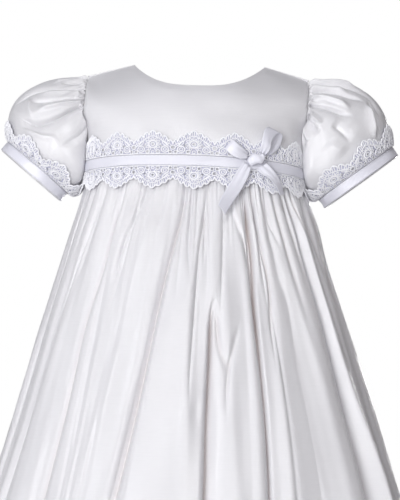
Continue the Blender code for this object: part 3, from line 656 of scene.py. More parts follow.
def body_depth(x, z, front):
    """How far the bodice stands before or behind the shoulder line at a place across and a height."""
    rise = np.clip((z - WAIST_Z) / (shoulder_top(x) - WAIST_Z), 0, 1)
    edge_x = armhole_edge(rise)[0]
    share = armhole_share(rise)
    inner = (share + np.hypot(share, 0.5)) / 2
    share = mix(inner, np.maximum(0.0, share), np.minimum(1.0, np.abs(x) / edge_x) ** 8)
    neck_depth = np.where(front, FRONT_NECK["depth"], BACK_NECK["depth"])
    depth = mix(WAIST_HALF_DEPTH, neck_depth, rise**CHEST_ROUNDNESS)
    reach = edge_x / rounded(np.sqrt(share) * ARMHOLE_HALF_DEPTH / depth, WAIST_SQUARENESS)
    outer = smooth((np.abs(x) - 0.030) / 0.060)
    power = np.where(front, SHOULDER_TURN_POWER, mix(BACK_TURN_POWER, SHOULDER_TURN_POWER, outer))
    return depth * rounded(x / reach, WAIST_SQUARENESS) * (1 - shoulder_turn(rise, power))


def bodice(angle, rise):
    """The bodice's outer face. rise is 0 at the waist and 1 at the neckline and shoulder seams."""
    angle, rise = np.broadcast_arrays(angle, rise)
    front = is_front(angle)
    drop = np.where(front, FRONT_NECK["drop"], BACK_NECK["drop"])
    side = np.sin(rad(angle))
    top_x = np.abs(side * SHOULDER_HALF_WIDTH)
    curve = np.maximum(0.0, 1 - (top_x / NECK_HALF_WIDTH) ** NECK_CURVE_POWER)
    top_z = np.where(top_x < NECK_HALF_WIDTH, SHOULDER_Z - drop * curve, shoulder_top(top_x))
    x, z = side * armhole_edge(rise)[0], mix(WAIST_Z, top_z, rise)
    y = body_depth(x, z, front)
    return stack(x, np.where(front, -y, y), z)


def bodice_rises(below, around):
    """Rises of the bodice's rows: some below the underarm, then even turns round the armhole."""
    tip = SHOULDER_Z - SHOULDER_DROP
    underarm = (UNDERARM_Z - WAIST_Z) / (tip - WAIST_Z)
    turns = (1 - np.cos(np.linspace(0, math.pi, around + 1))) / 2
    return np.concatenate([np.linspace(0, underarm, below, endpoint=False), mix(underarm, 1.0, turns)])


def half_angles(neck_steps, shoulder_steps):
    """Angles from the centre to the side seam, even along the neckline and then the shoulder."""
    share = NECK_HALF_WIDTH / SHOULDER_HALF_WIDTH
    neck = np.degrees(np.arcsin(share * np.sin(np.linspace(0, math.pi / 2, neck_steps + 1))))
    return np.concatenate([neck, np.linspace(neck[-1], SIDE_SEAM, shoulder_steps + 1)[1:]])


def lap_lift(angle):
    """How far the left half of the back stands out where it laps over the right half."""
    from_back = np.sin(rad(180 - angle)) * WAIST_HALF_WIDTH
    left_back = ~is_front(angle) & (angle > 0)
    return np.where(left_back, (SILK_WALL + GAP) * smooth((LAP + LAP_RAMP - from_back) / LAP_RAMP), 0.0)


def bodice_softness(angle, rise, height):
    """Shallow unevenness of the bodice, and the dip of its cloth into the armhole seam."""
    tension = waves(angle, height, 7, (80, 0.10), 6) * 0.0009
    pull = waves(angle + 600 * height, height, 3, (40, 0.09), 6) * 0.00025
    open_side = smooth((np.abs(np.sin(rad(angle))) - 0.975) / 0.025) * smooth((rise - 0.28) / 0.1)
    edges = smooth((height - WAIST_Z) / 0.012) * smooth((1.0 - rise) / 0.12)
    return (tension + pull) * edges - 0.0006 * open_side


def bodice_grid(angles, rises, lapped):
    a, r = np.meshgrid(angles, rises)
    grid = bodice(a, r)
    grid += normals_of(grid) * bodice_softness(a, r, grid[..., 2])[..., None]
    if lapped:
        grid[..., 1] += lap_lift(a)
    return grid


def straight_uv(grid):
    """UV of a bodice panel, in metres, with its threads level and upright."""
    x, y, z = grid[..., 0], grid[..., 1], grid[..., 2]
    return stack(np.arctan2(x, np.maximum(np.abs(y), 0.002)) * 0.085, z)


def make_bodice_pieces(detail, silk):
    """The bodice's front and the two halves of its back, turned under at the neck and the opening."""
    rises = bodice_rises(12, 64)
    half = half_angles(40, 40)
    front = np.concatenate([-half[:0:-1], half])
    lap_angle = math.degrees(math.asin(LAP / WAIST_HALF_WIDTH))
    back = 180 - half[::-1]
    fine = np.linspace(0, lap_angle, 9)[1:]
    panels = {
        # node: angles, whether it laps over, its edge at the back opening, flat size
        "bodice_front": (front, False, None, (0.262, 0.108)),
        "bodice_back_left": (np.concatenate([back, 180 + fine]), True, "right", (0.142, 0.106)),
        "bodice_back_right": (
            np.concatenate([-180 - fine[::-1], -back[::-1]]), False, "left", (0.142, 0.106),
        ),
    }
    for name, (angles, lapped, opening, flat) in panels.items():
        grid = bodice_grid(angles, rises, lapped)
        grid = turn_under(grid, "top", detail.edge_roll, 6)
        if opening:
            grid = turn_under(grid, opening, detail.edge_roll, 5)
        piece = sheet_object(f"silk_{name}", grid, [silk], uv=straight_uv(grid))
        finish_piece(piece, "silk", name)


# ---------------------------------------------------------------- skirt


def skirt_form(drop, column):
    """Half width (column 1) or half depth (column 2) of the smooth skirt, as a curve through its rows."""
    table = np.array(SKIRT_FORM)
    x, y = table[:, 0], table[:, column]
    slope = np.concatenate([
        [(y[1] - y[0]) / (x[1] - x[0])],
        (y[2:] - y[:-2]) / (x[2:] - x[:-2]),
        [(y[-1] - y[-2]) / (x[-1] - x[-2])],
    ])
    k = np.clip(np.searchsorted(x, np.maximum(drop, 0.0), side="right") - 1, 0, len(x) - 2)
    span = x[k + 1] - x[k]
    return hermite(y[k], slope[k] * span, y[k + 1], slope[k + 1] * span, (drop - x[k]) / span)


def back_folds():
    """Folds of the back and sides, alternately in and out, uneven by a rule."""
    rows = []
    for i in range(BACK_FOLDS):
        high = mix(95, 265, (i + 0.5) / BACK_FOLDS) + 2.0 * math.sin(5.1 * i + 1)
        low = high + 3.0 * math.sin(2.3 * i + 0.4)
        uneven = 0.75 + 0.35 * math.sin(3.7 * i + 2)
        depth = (-0.0115 if i % 2 == 0 else 0.0065) * uneven * smooth(min(high - 90, 270 - high) / 22)
        width = 4.4 + 0.9 * math.sin(4.3 * i)
        start = 0.03 + 0.025 * (1 + math.sin(1.9 * i))
        rows.append((high, low, depth, width, start, 0.9, (-1, 0, 1)[i % 3]))
    return rows


def back_creases():
    """Crisp creases of the sides and back, long and short by turns."""
    rows = []
    for i in range(BACK_CREASES):
        at = mix(80, 272, (i + 0.5) / BACK_CREASES) + 1.6 * math.sin(4.7 * i)
        start = 0.02 + 0.10 * (i % 5 == 3)
        end = start + (0.62, 0.09, 0.30, 0.14, 0.50, 0.07)[i % 6]
        bend = 2.4 * math.sin(2.1 * i)
        sideways = ((0.0, 0.0), (0.3, 1.0), (0.6, 0.6), (1.0, 0.9))
        points = [(at + side * bend, mix(start, end, share)) for share, side in sideways]
        widths = (0.0013, 0.0044) if i % 2 else (0.0052, 0.0012)
        rows.append((-0.0024 - 0.0008 * math.sin(3.3 * i), *widths, points))
    return rows


FOLDS = sorted(
    [(high, low, depth * MM, width, start * MM, end * MM, steep)
     for high, low, depth, width, start, end, steep in FRONT_FOLDS] + back_folds()
)
CREASES = [
    (depth * MM, right * MM, left * MM, [(at, low * MM) for at, low in points])
    for depth, right, left, points in FRONT_CREASES
] + back_creases()


def drift(angle, drop):
    """Where a thread that leaves the waist at an angle has moved to, lower down."""
    settled = np.minimum(1.0, drop / FOLDS_SETTLE)
    long_folds = [(row[0], row[1] - row[0]) for row in FOLDS if row[5] > RUNS_TO_HEM]
    stops = np.array([(-90, 0.0)] + long_folds + [(270, 0.0)])
    place = (angle + 90) % 360 - 90
    return angle + settled * np.interp(place, stops[:, 0], stops[:, 1])


def fold_depth(thread, drop):
    """How far the folds carry the cloth out of the smooth form, for a thread at its waist angle."""
    total = 0.0
    for high, _, depth, width, start, end, steep in FOLDS:
        away = turned_away(thread, high)
        squeeze = np.where(away * steep > 0, 2.6, 1.0)
        grown = smooth((drop - start) / FOLD_FADE) * smooth((end - drop) / FOLD_FADE)
        size = 0.25 + 0.75 * drop / SKIRT_LENGTH if end > RUNS_TO_HEM else 0.45
        total = total + SOFT_FOLD_SHARE * depth * grown * size * bell(away * squeeze / width)
    return total


def metres_round(drop):
    """The skirt's arc for one degree at a drop."""
    return (skirt_form(drop, 1) + skirt_form(drop, 2)) / 2 * math.pi / 180


def crease_depth(thread, drop):
    """The crisp creases along the folds and the small dents between them."""
    total = 0.0
    arc = metres_round(drop)
    for depth, right_width, left_width, points in CREASES:
        path = through([(low, at) for at, low in points], 6)
        start, end = path[0, 0], path[-1, 0]
        away = turned_away(thread, np.interp(drop, path[:, 0], path[:, 1])) * arc
        spread = 1 + 0.9 * drop / SKIRT_LENGTH
        width = np.where(away < 0, right_width, left_width) * spread
        grown = smooth((drop - start + 0.006) / min(0.05, 0.3 * (end - start)))
        grown *= smooth((end + 0.006 - drop) / min(0.10, 0.4 * (end - start)))
        total = total + depth * grown * bell(away / width, 1.35)
        if depth < 0 and min(right_width, left_width) < CRISP_WIDTH:
            total += 0.8 * depth * grown * bell(away / (CREASE_LINE_WIDTH * spread), 1.5)
    for at, low, depth, wide, tall in FRONT_DENTS:
        away = turned_away(thread, at) * arc
        total += depth * MM * bell(away / (wide * MM)) * bell((drop - low * MM) / (tall * MM))
    return total


def gather_depth(place, drop):
    """The gathers under the waist seam, all of them inward, each dying out at its own length."""
    pitch = 360 / GATHERS
    phase = ((place + 90) / pitch) % 1.0
    index = np.floor((place + 90) / pitch) % GATHERS
    uneven = 0.72 + 0.28 * np.sin(2.9 * index + 0.7)
    fade = GATHER_FADE * (0.75 + 0.45 * np.sin(1.7 * index + 2.0))
    grown = smooth(drop / GATHER_RISE) * (1 - smooth((drop - GATHER_RISE) / fade))
    return -GATHER_DEPTH * uneven * grown * (0.5 - 0.5 * np.cos(2 * math.pi * phase))


def wobble(place):
    """Spaces the gathers unevenly round the waist, and leaves the seams at 90, 180 and 270 in place."""
    return place + 1.0 * np.sin(rad(8 * place)) - 0.9 * np.sin(rad(12 * place))


def skirt_squareness(drop):
    """The power of the skirt's rounded outline, which is an ellipse a little below the waist."""
    return mix(WAIST_SQUARENESS, 2.0, smooth(drop / 0.12))


def skirt_ring(angle, drop):
    """The smooth skirt at an angle, and the level direction straight out from it."""
    width, depth = skirt_form(drop, 1), skirt_form(drop, 2)
    turn = rad(angle)
    front = -depth * np.sign(np.cos(turn)) * rounded(np.sin(turn), skirt_squareness(drop))
    point = stack(width * np.sin(turn), front, WAIST_Z - drop)
    out = unit(stack(depth * np.sin(turn), -width * np.cos(turn), np.zeros(np.shape(turn))))
    return point, out


def fine_gathers(place, drop, depth):
    """Small gathers between the large ones, which die out within a hand's breadth of the waist."""
    total = 0.0
    rng = np.random.default_rng(12)
    for k in range(FINE_GATHERS):
        centre = -90 + 360 * (k + rng.uniform(-0.35, 0.35)) / FINE_GATHERS
        length = rng.uniform(0.03, 0.10)
        share = 1.0 if 2 < centre < 262 else 0.4 if -45 < centre < 2 else 0.15
        size = rng.uniform(0.3, 1.0) * depth * share
        lean = rng.uniform(-10, 10)
        wide = rng.uniform(0.50, 0.85)
        away = turned_away(place, centre + lean * drop)
        grown = smooth(drop / 0.012) * (1 - smooth((drop - 0.012) / length))
        total = total - np.where(np.abs(away) < 4, size * grown * bell(away / wide), 0.0)
    for centre, low, size, wide, length in SHORT_GATHERS:
        away = turned_away(place, mix(centre, low, drop / 0.1))
        fade = smooth((drop - 0.5 * length * MM) / (0.8 * length * MM))
        total -= size * MM * smooth(drop / 0.015) * (1 - fade) * bell(away / wide, 1.4)
    return total


def skirt(place, drop, detail):
    """The skirt's outer face, and how deep in a crease it is from 0 to 1, which sets the painted shade laid
    into the silk's colour there.

    place is an even measure round the waist, in degrees.
    """
    thread = wobble(place)
    point, out = skirt_ring(drift(thread, drop), drop)
    soft = waves(thread, drop, 21, (15, 0.36), 12) * 0.0012 * smooth((drop - 0.03) / 0.2)
    soft += waves(thread, drop, 5, (6, 0.15), 14) * 0.0005 * smooth((drop - 0.02) / 0.1)
    creases, gathers = crease_depth(thread, drop), fine_gathers(place, drop, detail.gather_depth)
    depth = fold_depth(thread, drop) + detail.fold_sharpness * creases
    depth += 0.45 * gather_depth(place, drop) + gathers + soft
    # Painted shade: deep creases and gathers darken and warm the silk's colour, standing in for their shadow
    # and warm bounce light.
    shade = smooth((-creases - 0.0020) / 0.0080) + 0.4 * smooth((-gathers - 0.0012) / 0.0030)
    # The painted shade is weaker on the wearer's right, which faces the key lamp, and full on the wearer's
    # left, which turns away from it.
    shade = shade * mix(0.45, 1.0, smooth((thread + 5) / 30))
    return point + out * depth[..., None], np.minimum(1.0, shade)


def skirt_places(start, stop, count):
    """Columns of a skirt panel, closer together along its crisp creases."""
    even = np.linspace(start, stop, 4000)
    weight = np.ones(len(even))
    for depth, _, _, points in CREASES:
        if depth < -0.0015:
            for at, _ in points:
                weight += 1.8 * bell(turned_away(wobble(even), at) / 0.9)
    reach = np.concatenate([[0], np.cumsum((weight[1:] + weight[:-1]) / 2)])
    return np.interp(np.linspace(0, reach[-1], count), reach, even)


def make_skirt_pieces(detail, silk):
    """The skirt's three panels, with their rows closer together at the waist and a hem turned up."""
    rows = 112
    drops = SKIRT_LENGTH * (np.arange(rows, -1, -1) / rows) ** 1.35
    panels = {
        # node: start, stop, columns, flat size, flat area
        "skirt_front": (-90, 90, 760, (1.02, 0.72), 0.60),
        "skirt_back_left": (90, 180, 320, (0.51, 0.72), 0.30),
        "skirt_back_right": (180, 270, 320, (0.51, 0.72), 0.30),
    }
    for name, (start, stop, columns, flat, area) in panels.items():
        place, drop = np.meshgrid(skirt_places(start, stop, columns), drops)
        grid, shade = skirt(place, drop, detail)
        hem = int(np.searchsorted(SKIRT_LENGTH - drops, detail.hem_turn))
        grid = turn_under(grid, "bottom", detail.edge_roll, hem)
        shade = np.pad(shade, ((len(grid) - len(shade), 0), (0, 0)), mode="edge")
        piece = sheet_object(f"silk_{name}", grid, [silk], shade=shade)
        finish_piece(piece, "silk", name)


# ---------------------------------------------------------------- sleeves

CUFF_THROUGH = unit(vec((-0.078, 0.990, 0.120)))


def cuff_axis(cuff):
    """The way out of the sleeve, along the axis of its hem ring."""
    return unit(np.cross(CUFF_THROUGH, vec(cuff["across"])))


def armhole_point(turn):
    """The bodice's armhole edge: turn is 0 at the shoulder, 90 in front and 180 underarm."""
    tip = SHOULDER_Z - SHOULDER_DROP
    z = (tip + UNDERARM_Z) / 2 + (tip - UNDERARM_Z) / 2 * np.cos(rad(turn))
    rise = (z - WAIST_Z) / (tip - WAIST_Z)
    edge_x, opening = armhole_edge(rise)
    opening = opening * (1 - shoulder_turn(rise))
    return stack(-edge_x - GAP, np.where(np.sin(rad(turn)) >= 0, -opening, opening), z)


def cuff_spoke(cuff, turn):
    """From the hem ring's axis out to the ring."""
    c, s = np.cos(rad(turn))[..., None], np.sin(rad(turn))[..., None]
    return unit(vec(cuff["across"])) * (-c * cuff["half_width"]) - CUFF_THROUGH * (s * CUFF_HALF_DEPTH)


def sleeve_line(cuff, turn, along):
    """The smooth sleeve: along is 0 at the armhole, 1 at the ribbon's upper edge and 2 at the hem."""
    turn, along = np.broadcast_arrays(np.asarray(turn, float), np.asarray(along, float))
    c, s = np.cos(rad(turn)), np.sin(rad(turn))
    start = armhole_point(turn)
    spoke, axis = cuff_spoke(cuff, turn), cuff_axis(cuff)
    end = vec(cuff["centre"]) + spoke - axis * RIBBON_WIDTH
    under = smooth((-c - 0.1) / 0.8)
    pull_start = stack(-0.0285 - 0.018 * c + 0.0100 * under, -0.016 * s, -0.0085 + 0.0165 * c - 0.004 * under)
    pull_end = unit(spoke) * (cuff["puff"] * (0.78 + 0.22 * c))[..., None]
    pull_end = pull_end - axis * (0.0185 + 0.0145 * c)[..., None]
    inward = UNDERARM_REACH - end[..., 0] - pull_end[..., 0]
    pull_end[..., 0] += under * inward
    upper = (cuff["shaped"] * np.maximum(0.0, c))[..., None]
    pull_start += upper * vec((0.004, 0, -0.006))
    pull_end += upper * vec((-0.009, 0, 0.002))
    t = np.minimum(along, 1.0)[..., None]
    r = 1 - t
    p1, p2 = start + pull_start, end + pull_end
    puff = start * r**3 + p1 * (3 * r * r * t) + p2 * (3 * r * t * t) + end * t**3
    corner = bell(turned_away(turn, 126) / 28) * smooth(along / 0.12) * smooth((0.95 - along) / 0.35)
    puff = puff + (SLEEVE_CORNER * corner)[..., None] * vec((0.95, -0.20, 0))
    return puff + axis * (RIBBON_WIDTH * np.maximum(0.0, along - 1))[..., None]


def sleeve_out(cuff, turn, along):
    """The direction out from the middle of the sleeve."""
    return unit(sleeve_line(cuff, turn, along) - sleeve_line(cuff, turn + 180, along))


def near_line(u, v, points):
    """Distance from each (u, v) to a line through points, its sign, and the share of the line walked.

    The sign is 1 on the side of growing u.
    """
    points = np.asarray(points, float)
    lengths = np.linalg.norm(np.diff(points, axis=0), axis=1)
    walked = np.concatenate([[0], np.cumsum(lengths)])
    best, sign, share = np.full(u.shape, np.inf), np.ones(u.shape), np.zeros(u.shape)
    for a, b, length, done in zip(points, points[1:], lengths, walked):
        du, dv = b - a
        t = np.clip(((u - a[0]) * du + (v - a[1]) * dv) / length**2, 0, 1)
        far = np.hypot(u - a[0] - t * du, v - a[1] - t * dv)
        closer = far < best
        side = np.sign((u - a[0]) * dv - (v - a[1]) * du)
        best, sign = np.where(closer, far, best), np.where(closer, side, sign)
        share = np.where(closer, (done + t * length) / walked[-1], share)
    return best, sign, share


def sleeve_creases(side, turn, along):
    """Depth of the sleeve's creases, which taper at both ends."""
    degree, whole = 0.00060, 0.100
    total = 0.0
    for depth, width, steep, points in SLEEVE_CREASES[side]:
        line = through([(at * degree, share * whole / 100) for at, share in points], 5)
        middle = np.mean([at for at, _ in points])
        u = (turned_away(turn, middle) + middle) * degree
        far, sign, share = near_line(u, along * whole, line)
        far = far * np.where(sign * steep > 0, 3.2, 1.0)
        starts_at_seam = points[0][1] < 12
        taper = smooth((1 - share) / 0.35) * (1.0 if starts_at_seam else smooth(share / 0.3))
        shape = bell(far / (0.85 * width * MM), 1.5)
        if depth < 0:
            shape += 0.4 * bell(far / 0.0014, 1.6)
        total = total + 1.5 * depth * MM * taper * shape * smooth(along / 0.04)
    return total


def sleeve_tufts(side, turn, along):
    """Short puckers that stand between the gathers of the armhole seam."""
    total = 0.0
    for k, centre in enumerate(SLEEVE_TUFTS[side]):
        length = 0.075 + 0.03 * math.sin(2.7 * k)
        away = turned_away(turn, centre)
        grown = smooth(along / 0.018) * (1 - smooth((along - 0.02) / length))
        total = total + TUFT_HEIGHT * grown * (bell(away / 3.0) - 0.9 * bell((away - 5.0) / 2.2))
    return total


def sleeve_gathers(turn, along, depth):
    """Fine gathers at both ends of the sleeve, all of them inward."""
    total = 0.0
    rng = np.random.default_rng(4)
    for k in range(SLEEVE_GATHERS):
        centre = 360 * (k + rng.uniform(-0.3, 0.3)) / SLEEVE_GATHERS
        size, length, low = rng.uniform(0.4, 1.0), rng.uniform(0.10, 0.34), rng.uniform(0.3, 0.8)
        away = turned_away(turn, centre)
        shape = bell(away / rng.uniform(2.4, 3.6))
        underarm = 1.0 if math.cos(rad(centre)) > -0.6 else 0.35
        at_armhole = smooth(along / 0.04) * (1 - smooth((along - 0.04) / length)) * underarm
        at_hem = smooth((along - 0.72) / 0.24) * smooth((1.0 - along) / 0.03)
        total = total - depth * size * shape * (at_armhole + low * 0.45 * at_hem)
    return total


def sleeve(side, turn, along, detail):
    """The sleeve's outer face, with its creases and gathers, as the wearer's right one."""
    cuff = CUFFS[side]
    depth = sleeve_creases(side, turn, along) + sleeve_gathers(turn, along, detail.gather_depth)
    ends = smooth(along / 0.2) * smooth((1 - along) / 0.2)
    depth += sleeve_tufts(side, turn, along) + waves(turn, along, 9, (50, 0.8), 8) * 0.0005 * ends
    tuck = 0.0008 * (1 - smooth(along / 0.02))
    return sleeve_line(cuff, turn, along) + sleeve_out(cuff, turn, along) * (depth - tuck)[..., None]


def on_side(side, points):
    """A right sleeve's points moved to the side they are for."""
    return points if side == "right" else points * vec((-1, 1, 1))


def mirrored(side, grid):
    """A right sleeve's grid on its own side, with its columns still running to the right."""
    return grid if side == "right" else on_side(side, grid)[:, ::-1]


def sleeve_columns(count):
    """Turns round a right sleeve, in the order that makes its faces point outward."""
    return np.linspace(360, 0, count, endpoint=False)


def make_sleeve_pieces(detail, silk, ribbon):
    """Each puff sleeve, whose cloth runs on under the ribbon round its hem."""
    alongs = np.concatenate([np.linspace(0, 1, 120) ** 1.25, np.linspace(1, 2, 8)[1:]])
    for side, cuff in CUFFS.items():
        turn, along = np.meshgrid(sleeve_columns(312), alongs)
        grid = mirrored(side, sleeve(side, turn, along, detail))
        grid = turn_under(grid, "top", detail.edge_roll, 6, closed=True)
        piece = sheet_object(f"silk_sleeve_{side}", grid, [silk], closed=True)
        finish_piece(piece, "silk", f"sleeve_{side}")
        turn, along = np.meshgrid(sleeve_columns(200), np.linspace(1.0, 2.0, 10))
        band = sleeve_line(cuff, turn, along)
        ease = 0.00035 * waves(turn, along * 20, 31, (60, 60), 6) * (1 - (2 * along - 3) ** 2)
        band = band + unit(cuff_spoke(cuff, turn)) * (GAP + RIBBON_WALL + 0.0001 + ease)[..., None]
        band = mirrored(side, band)
        piece = walled_object(f"ribbon_sleeve_{side}", band, detail.ribbon_thickness, [ribbon], closed=True)
        finish_piece(piece, "ribbon", f"sleeve_band_{side}")


# ---------------------------------------------------------------- lace


def scallop(turns):
    """The share of the lace's width at a place along it, one turn to a scallop."""
    return LACE_VALLEY + (1 - LACE_VALLEY) * (1 - np.abs(2 * (turns % 1.0) - 1) ** 1.5)


LOBES = np.array((0.0, 0.13, 0.27, 0.41, 0.59, 0.73, 0.87, 1.0))


def lace_edge(turns):
    """Height of the lace's lobed edge, as a share of its width."""
    t = turns % 1.0
    k = np.clip(np.searchsorted(LOBES, t, side="right") - 1, 0, len(LOBES) - 2)
    within = np.clip((t - LOBES[k]) / (LOBES[k + 1] - LOBES[k]), 0, 1)
    middle = (LOBES[k] + LOBES[k + 1]) / 2
    return scallop(mix(t, middle, 0.6)) - 0.10 + 0.15 * np.sin(math.pi * within) ** 0.7


def circle(x, y, radius, count, squash, turn):
    """A closed ring of points, or an ellipse turned by some degrees."""
    a = np.linspace(0, 2 * math.pi, count, endpoint=False)
    px, py = radius * np.cos(a), radius * squash * np.sin(a)
    c, s = math.cos(rad(turn)), math.sin(rad(turn))
    return np.stack([x + c * px - s * py, y + s * px + c * py], axis=1)


def lace_rings(pitch):
    """The motif's rings: along, up, radius, points, squash, turn and share of the cord's thickness."""
    rings = [(0, LACE_FLOWER_UP, 0.0031, 18, 1.0, 0, 1.25), (0, LACE_FLOWER_UP, 0.0015, 12, 1.0, 0, 1.0)]
    for turn in range(-60, 241, 30):
        along, up = math.cos(rad(turn)) * 0.0050, math.sin(rad(turn)) * 0.0050
        rings.append((along, LACE_FLOWER_UP + up, 0.0014, 8, 0.6, turn, 0.85))
    for side in (-1, 1):
        rings += [
            (side * 0.0096, 0.0046, 0.0028, 16, 1.0, 0, 1.15),
            (side * 0.0096, 0.0046, 0.0013, 10, 1.0, 0, 0.85),
            (side * 0.0094, 0.0100, 0.0024, 10, 0.5, side * -50, 0.9),
            (side * 0.0130, 0.0084, 0.0018, 10, 0.6, side * -30, 0.8),
            (side * 0.0042, 0.0024, 0.0016, 10, 1.0, 0, 0.9),
            (side * 0.0139, 0.0022, 0.0015, 10, 1.0, 0, 0.85),
        ]
    return rings + [(0, 0.0022, 0.0012, 10, 1.0, 0, 0.8), (pitch / 2, 0.0064, 0.0019, 12, 1.0, 0, 1.0)]


def lace_motif(pitch):
    """Lines of cord for one scallop, as (points, closed, share of the cord's thickness).

    x runs along the lace from the middle of the scallop, and y up from its straight edge.
    """
    t = np.linspace(0, 1, 85)
    x = (t - 0.5) * pitch
    outer = np.stack([x, lace_edge(t) * LACE_WIDTH], axis=1)
    inner = np.stack([x * 0.84, (scallop(t) - 0.185) * LACE_WIDTH], axis=1)
    lines = [(outer, False, 1.25), (inner[6:-6], False, 0.9)]
    lines += [(np.stack([outer[k], inner[k]]), False, 0.8) for k in range(3, 82, 4)]
    for centre, up, radius, count, squash, turn, thickness in lace_rings(pitch):
        lines.append((circle(centre, up, radius, count, squash, turn), True, thickness))
    straight = np.stack([np.linspace(-0.5, 0.5, 12) * pitch, np.full(12, 0.0004)], axis=1)
    return lines + [(straight, False, 0.9)]


def motif_curve(name, lines):
    """A flat curve object that holds the cord's lines, each with its own thickness as its radius."""
    curve = bpy.data.curves.new(name, "CURVE")
    curve.dimensions = "3D"
    for points, closed, thickness in lines:
        spline = curve.splines.new("POLY")
        spline.points.add(len(points) - 1)
        for target, (x, y) in zip(spline.points, points):
            target.co = (x, y, 0, 1)
            target.radius = thickness
        spline.use_cyclic_u = closed
    return linked(name, curve)


def new_tree(name, inputs):
    """A Geometry Nodes tree with a Geometry input and output and the named inputs given."""
    tree = bpy.data.node_groups.new(name, "GeometryNodeTree")
    tree.interface.new_socket("Geometry", in_out="INPUT", socket_type="NodeSocketGeometry")
    for label, kind, default in inputs:
        socket = tree.interface.new_socket(label, in_out="INPUT", socket_type=kind)
        if default is not None:
            socket.default_value = default
    tree.interface.new_socket("Geometry", in_out="OUTPUT", socket_type="NodeSocketGeometry")
    return tree, tree.nodes.new("NodeGroupInput"), tree.nodes.new("NodeGroupOutput")


def add_node(tree, kind, links=(), **values):
    """A node with its inputs linked from (input name or number, socket) pairs, and its properties set."""
    node = tree.nodes.new(kind)
    for key, value in values.items():
        setattr(node, key, value)
    for key, source in links:
        if hasattr(source, "is_output"):
            tree.links.new(source, node.inputs[key])
        else:
            node.inputs[key].default_value = source
    return node


def reckoned(tree, operation, a, b):
    """The output of a Math node on two numbers, each of them a socket or plain."""
    return add_node(tree, "ShaderNodeMath", ((0, a), (1, b)), operation=operation).outputs[0]


def cord_tree():
    """Turns a motif's lines into cord and repeats it in a row along X."""
    tree, given, result = new_tree("lace_cords", (
        ("Repeats", "NodeSocketInt", 17),
        ("Pitch", "NodeSocketFloat", 0.032),
        ("Cord Radius", "NodeSocketFloat", 0.0005),
        ("Material", "NodeSocketMaterial", None),
    ))
    profile = add_node(tree, "GeometryNodeCurvePrimitiveCircle", (
        ("Resolution", 5), ("Radius", given.outputs["Cord Radius"]),
    ))
    cords = add_node(tree, "GeometryNodeCurveToMesh", (
        ("Curve", given.outputs["Geometry"]),
        ("Profile Curve", profile.outputs["Curve"]),
        ("Scale", add_node(tree, "GeometryNodeInputRadius").outputs[0]),
        ("Fill Caps", True),
    ))
    step = add_node(tree, "ShaderNodeCombineXYZ", (("X", given.outputs["Pitch"]),))
    line = add_node(tree, "GeometryNodeMeshLine", (
        ("Count", given.outputs["Repeats"]), ("Offset", step.outputs[0]),
    ), mode="OFFSET")
    copies = add_node(tree, "GeometryNodeInstanceOnPoints", (
        ("Points", line.outputs[0]), ("Instance", cords.outputs[0]),
    ))
    return finish_tree(tree, given, result, copies.outputs[0])


def finish_tree(tree, given, result, geometry):
    """Realizes what the tree made, shades it smooth and gives it its material."""
    real = add_node(tree, "GeometryNodeRealizeInstances", (("Geometry", geometry),))
    soft = add_node(tree, "GeometryNodeSetShadeSmooth", (("Geometry", real.outputs[0]),))
    named = add_node(tree, "GeometryNodeSetMaterial", (
        ("Geometry", soft.outputs[0]), ("Material", given.outputs["Material"]),
    ))
    tree.links.new(named.outputs[0], result.inputs[0])
    return tree


def result_of(obj, tree, **values):
    """The plain mesh that a tree makes from an object, which is then removed."""
    modifier = obj.modifiers.new("make", "NODES")
    modifier.node_group = tree
    for socket in tree.interface.items_tree:
        label = socket.name.lower().replace(" ", "_")
        if socket.item_type == "SOCKET" and socket.in_out == "INPUT" and label in values:
            modifier[socket.identifier] = values[label]
    graph = bpy.context.evaluated_depsgraph_get()
    mesh = bpy.data.meshes.new_from_object(obj.evaluated_get(graph), depsgraph=graph)
    obj.modifiers.remove(modifier)
    bpy.data.batch_remove([obj, obj.data])
    return mesh


def mesh_points(mesh):
    points = np.zeros(len(mesh.vertices) * 3, np.float32)
    mesh.vertices.foreach_get("co", points)
    return points.reshape(-1, 3).astype(float)


def placed_mesh(name, mesh, points):
    """An object from a mesh whose points have been moved onto the gown."""
    mesh.vertices.foreach_set("co", askew(points).astype(np.float32).ravel())
    mesh.update()
    mesh.name = name
    return linked(name, mesh)


def trimmed(mesh, low, high):
    """Cuts the flat strip of cords square at both ends along X and closes the cut cords."""
    bm = bmesh.new()
    bm.from_mesh(mesh)
    for place, normal in ((low, (-1, 0, 0)), (high, (1, 0, 0))):
        geometry = bm.verts[:] + bm.edges[:] + bm.faces[:]
        cut = bmesh.ops.bisect_plane(
            bm, geom=geometry, plane_co=(place, 0, 0), plane_no=normal, clear_outer=True
        )["geom_cut"]
        ends = [item for item in cut if isinstance(item, bmesh.types.BMEdge) and item.is_boundary]
        bmesh.ops.holes_fill(bm, edges=ends, sides=0)
    bmesh.ops.recalc_face_normals(bm, faces=bm.faces[:])
    bm.to_mesh(mesh)
    bm.free()


def flat_net(pitch, start, stop):
    """A flat net with a lobed edge as points (along, up) and quads, with its holes left open."""
    rows, columns = NET_ROWS, int(round((stop - start) / pitch * NET_COLUMNS)) + 1
    px, ps = np.meshgrid(np.linspace(start, stop, columns), np.linspace(0, 1, rows))
    py = ps * (lace_edge(px / pitch + 0.5) + 0.02) * LACE_WIDTH
    faces = grid_faces(rows, columns)
    fx = ((px[:-1, :-1] + px[1:, 1:]) / 2 / pitch + 0.5) % 1.0 * pitch - pitch / 2
    fy = (py[:-1, :-1] + py[1:, 1:]) / 2
    keep = np.ones(fx.shape, bool)
    for cx, cy, radius in lace_holes(pitch):
        away = np.abs(fx - cx)
        keep &= np.hypot(np.minimum(away, pitch - away), fy - cy) > radius
    faces = [f for f, kept in zip(faces, keep.ravel()) if kept]
    return stack(px.ravel(), py.ravel(), np.zeros(px.size)), faces


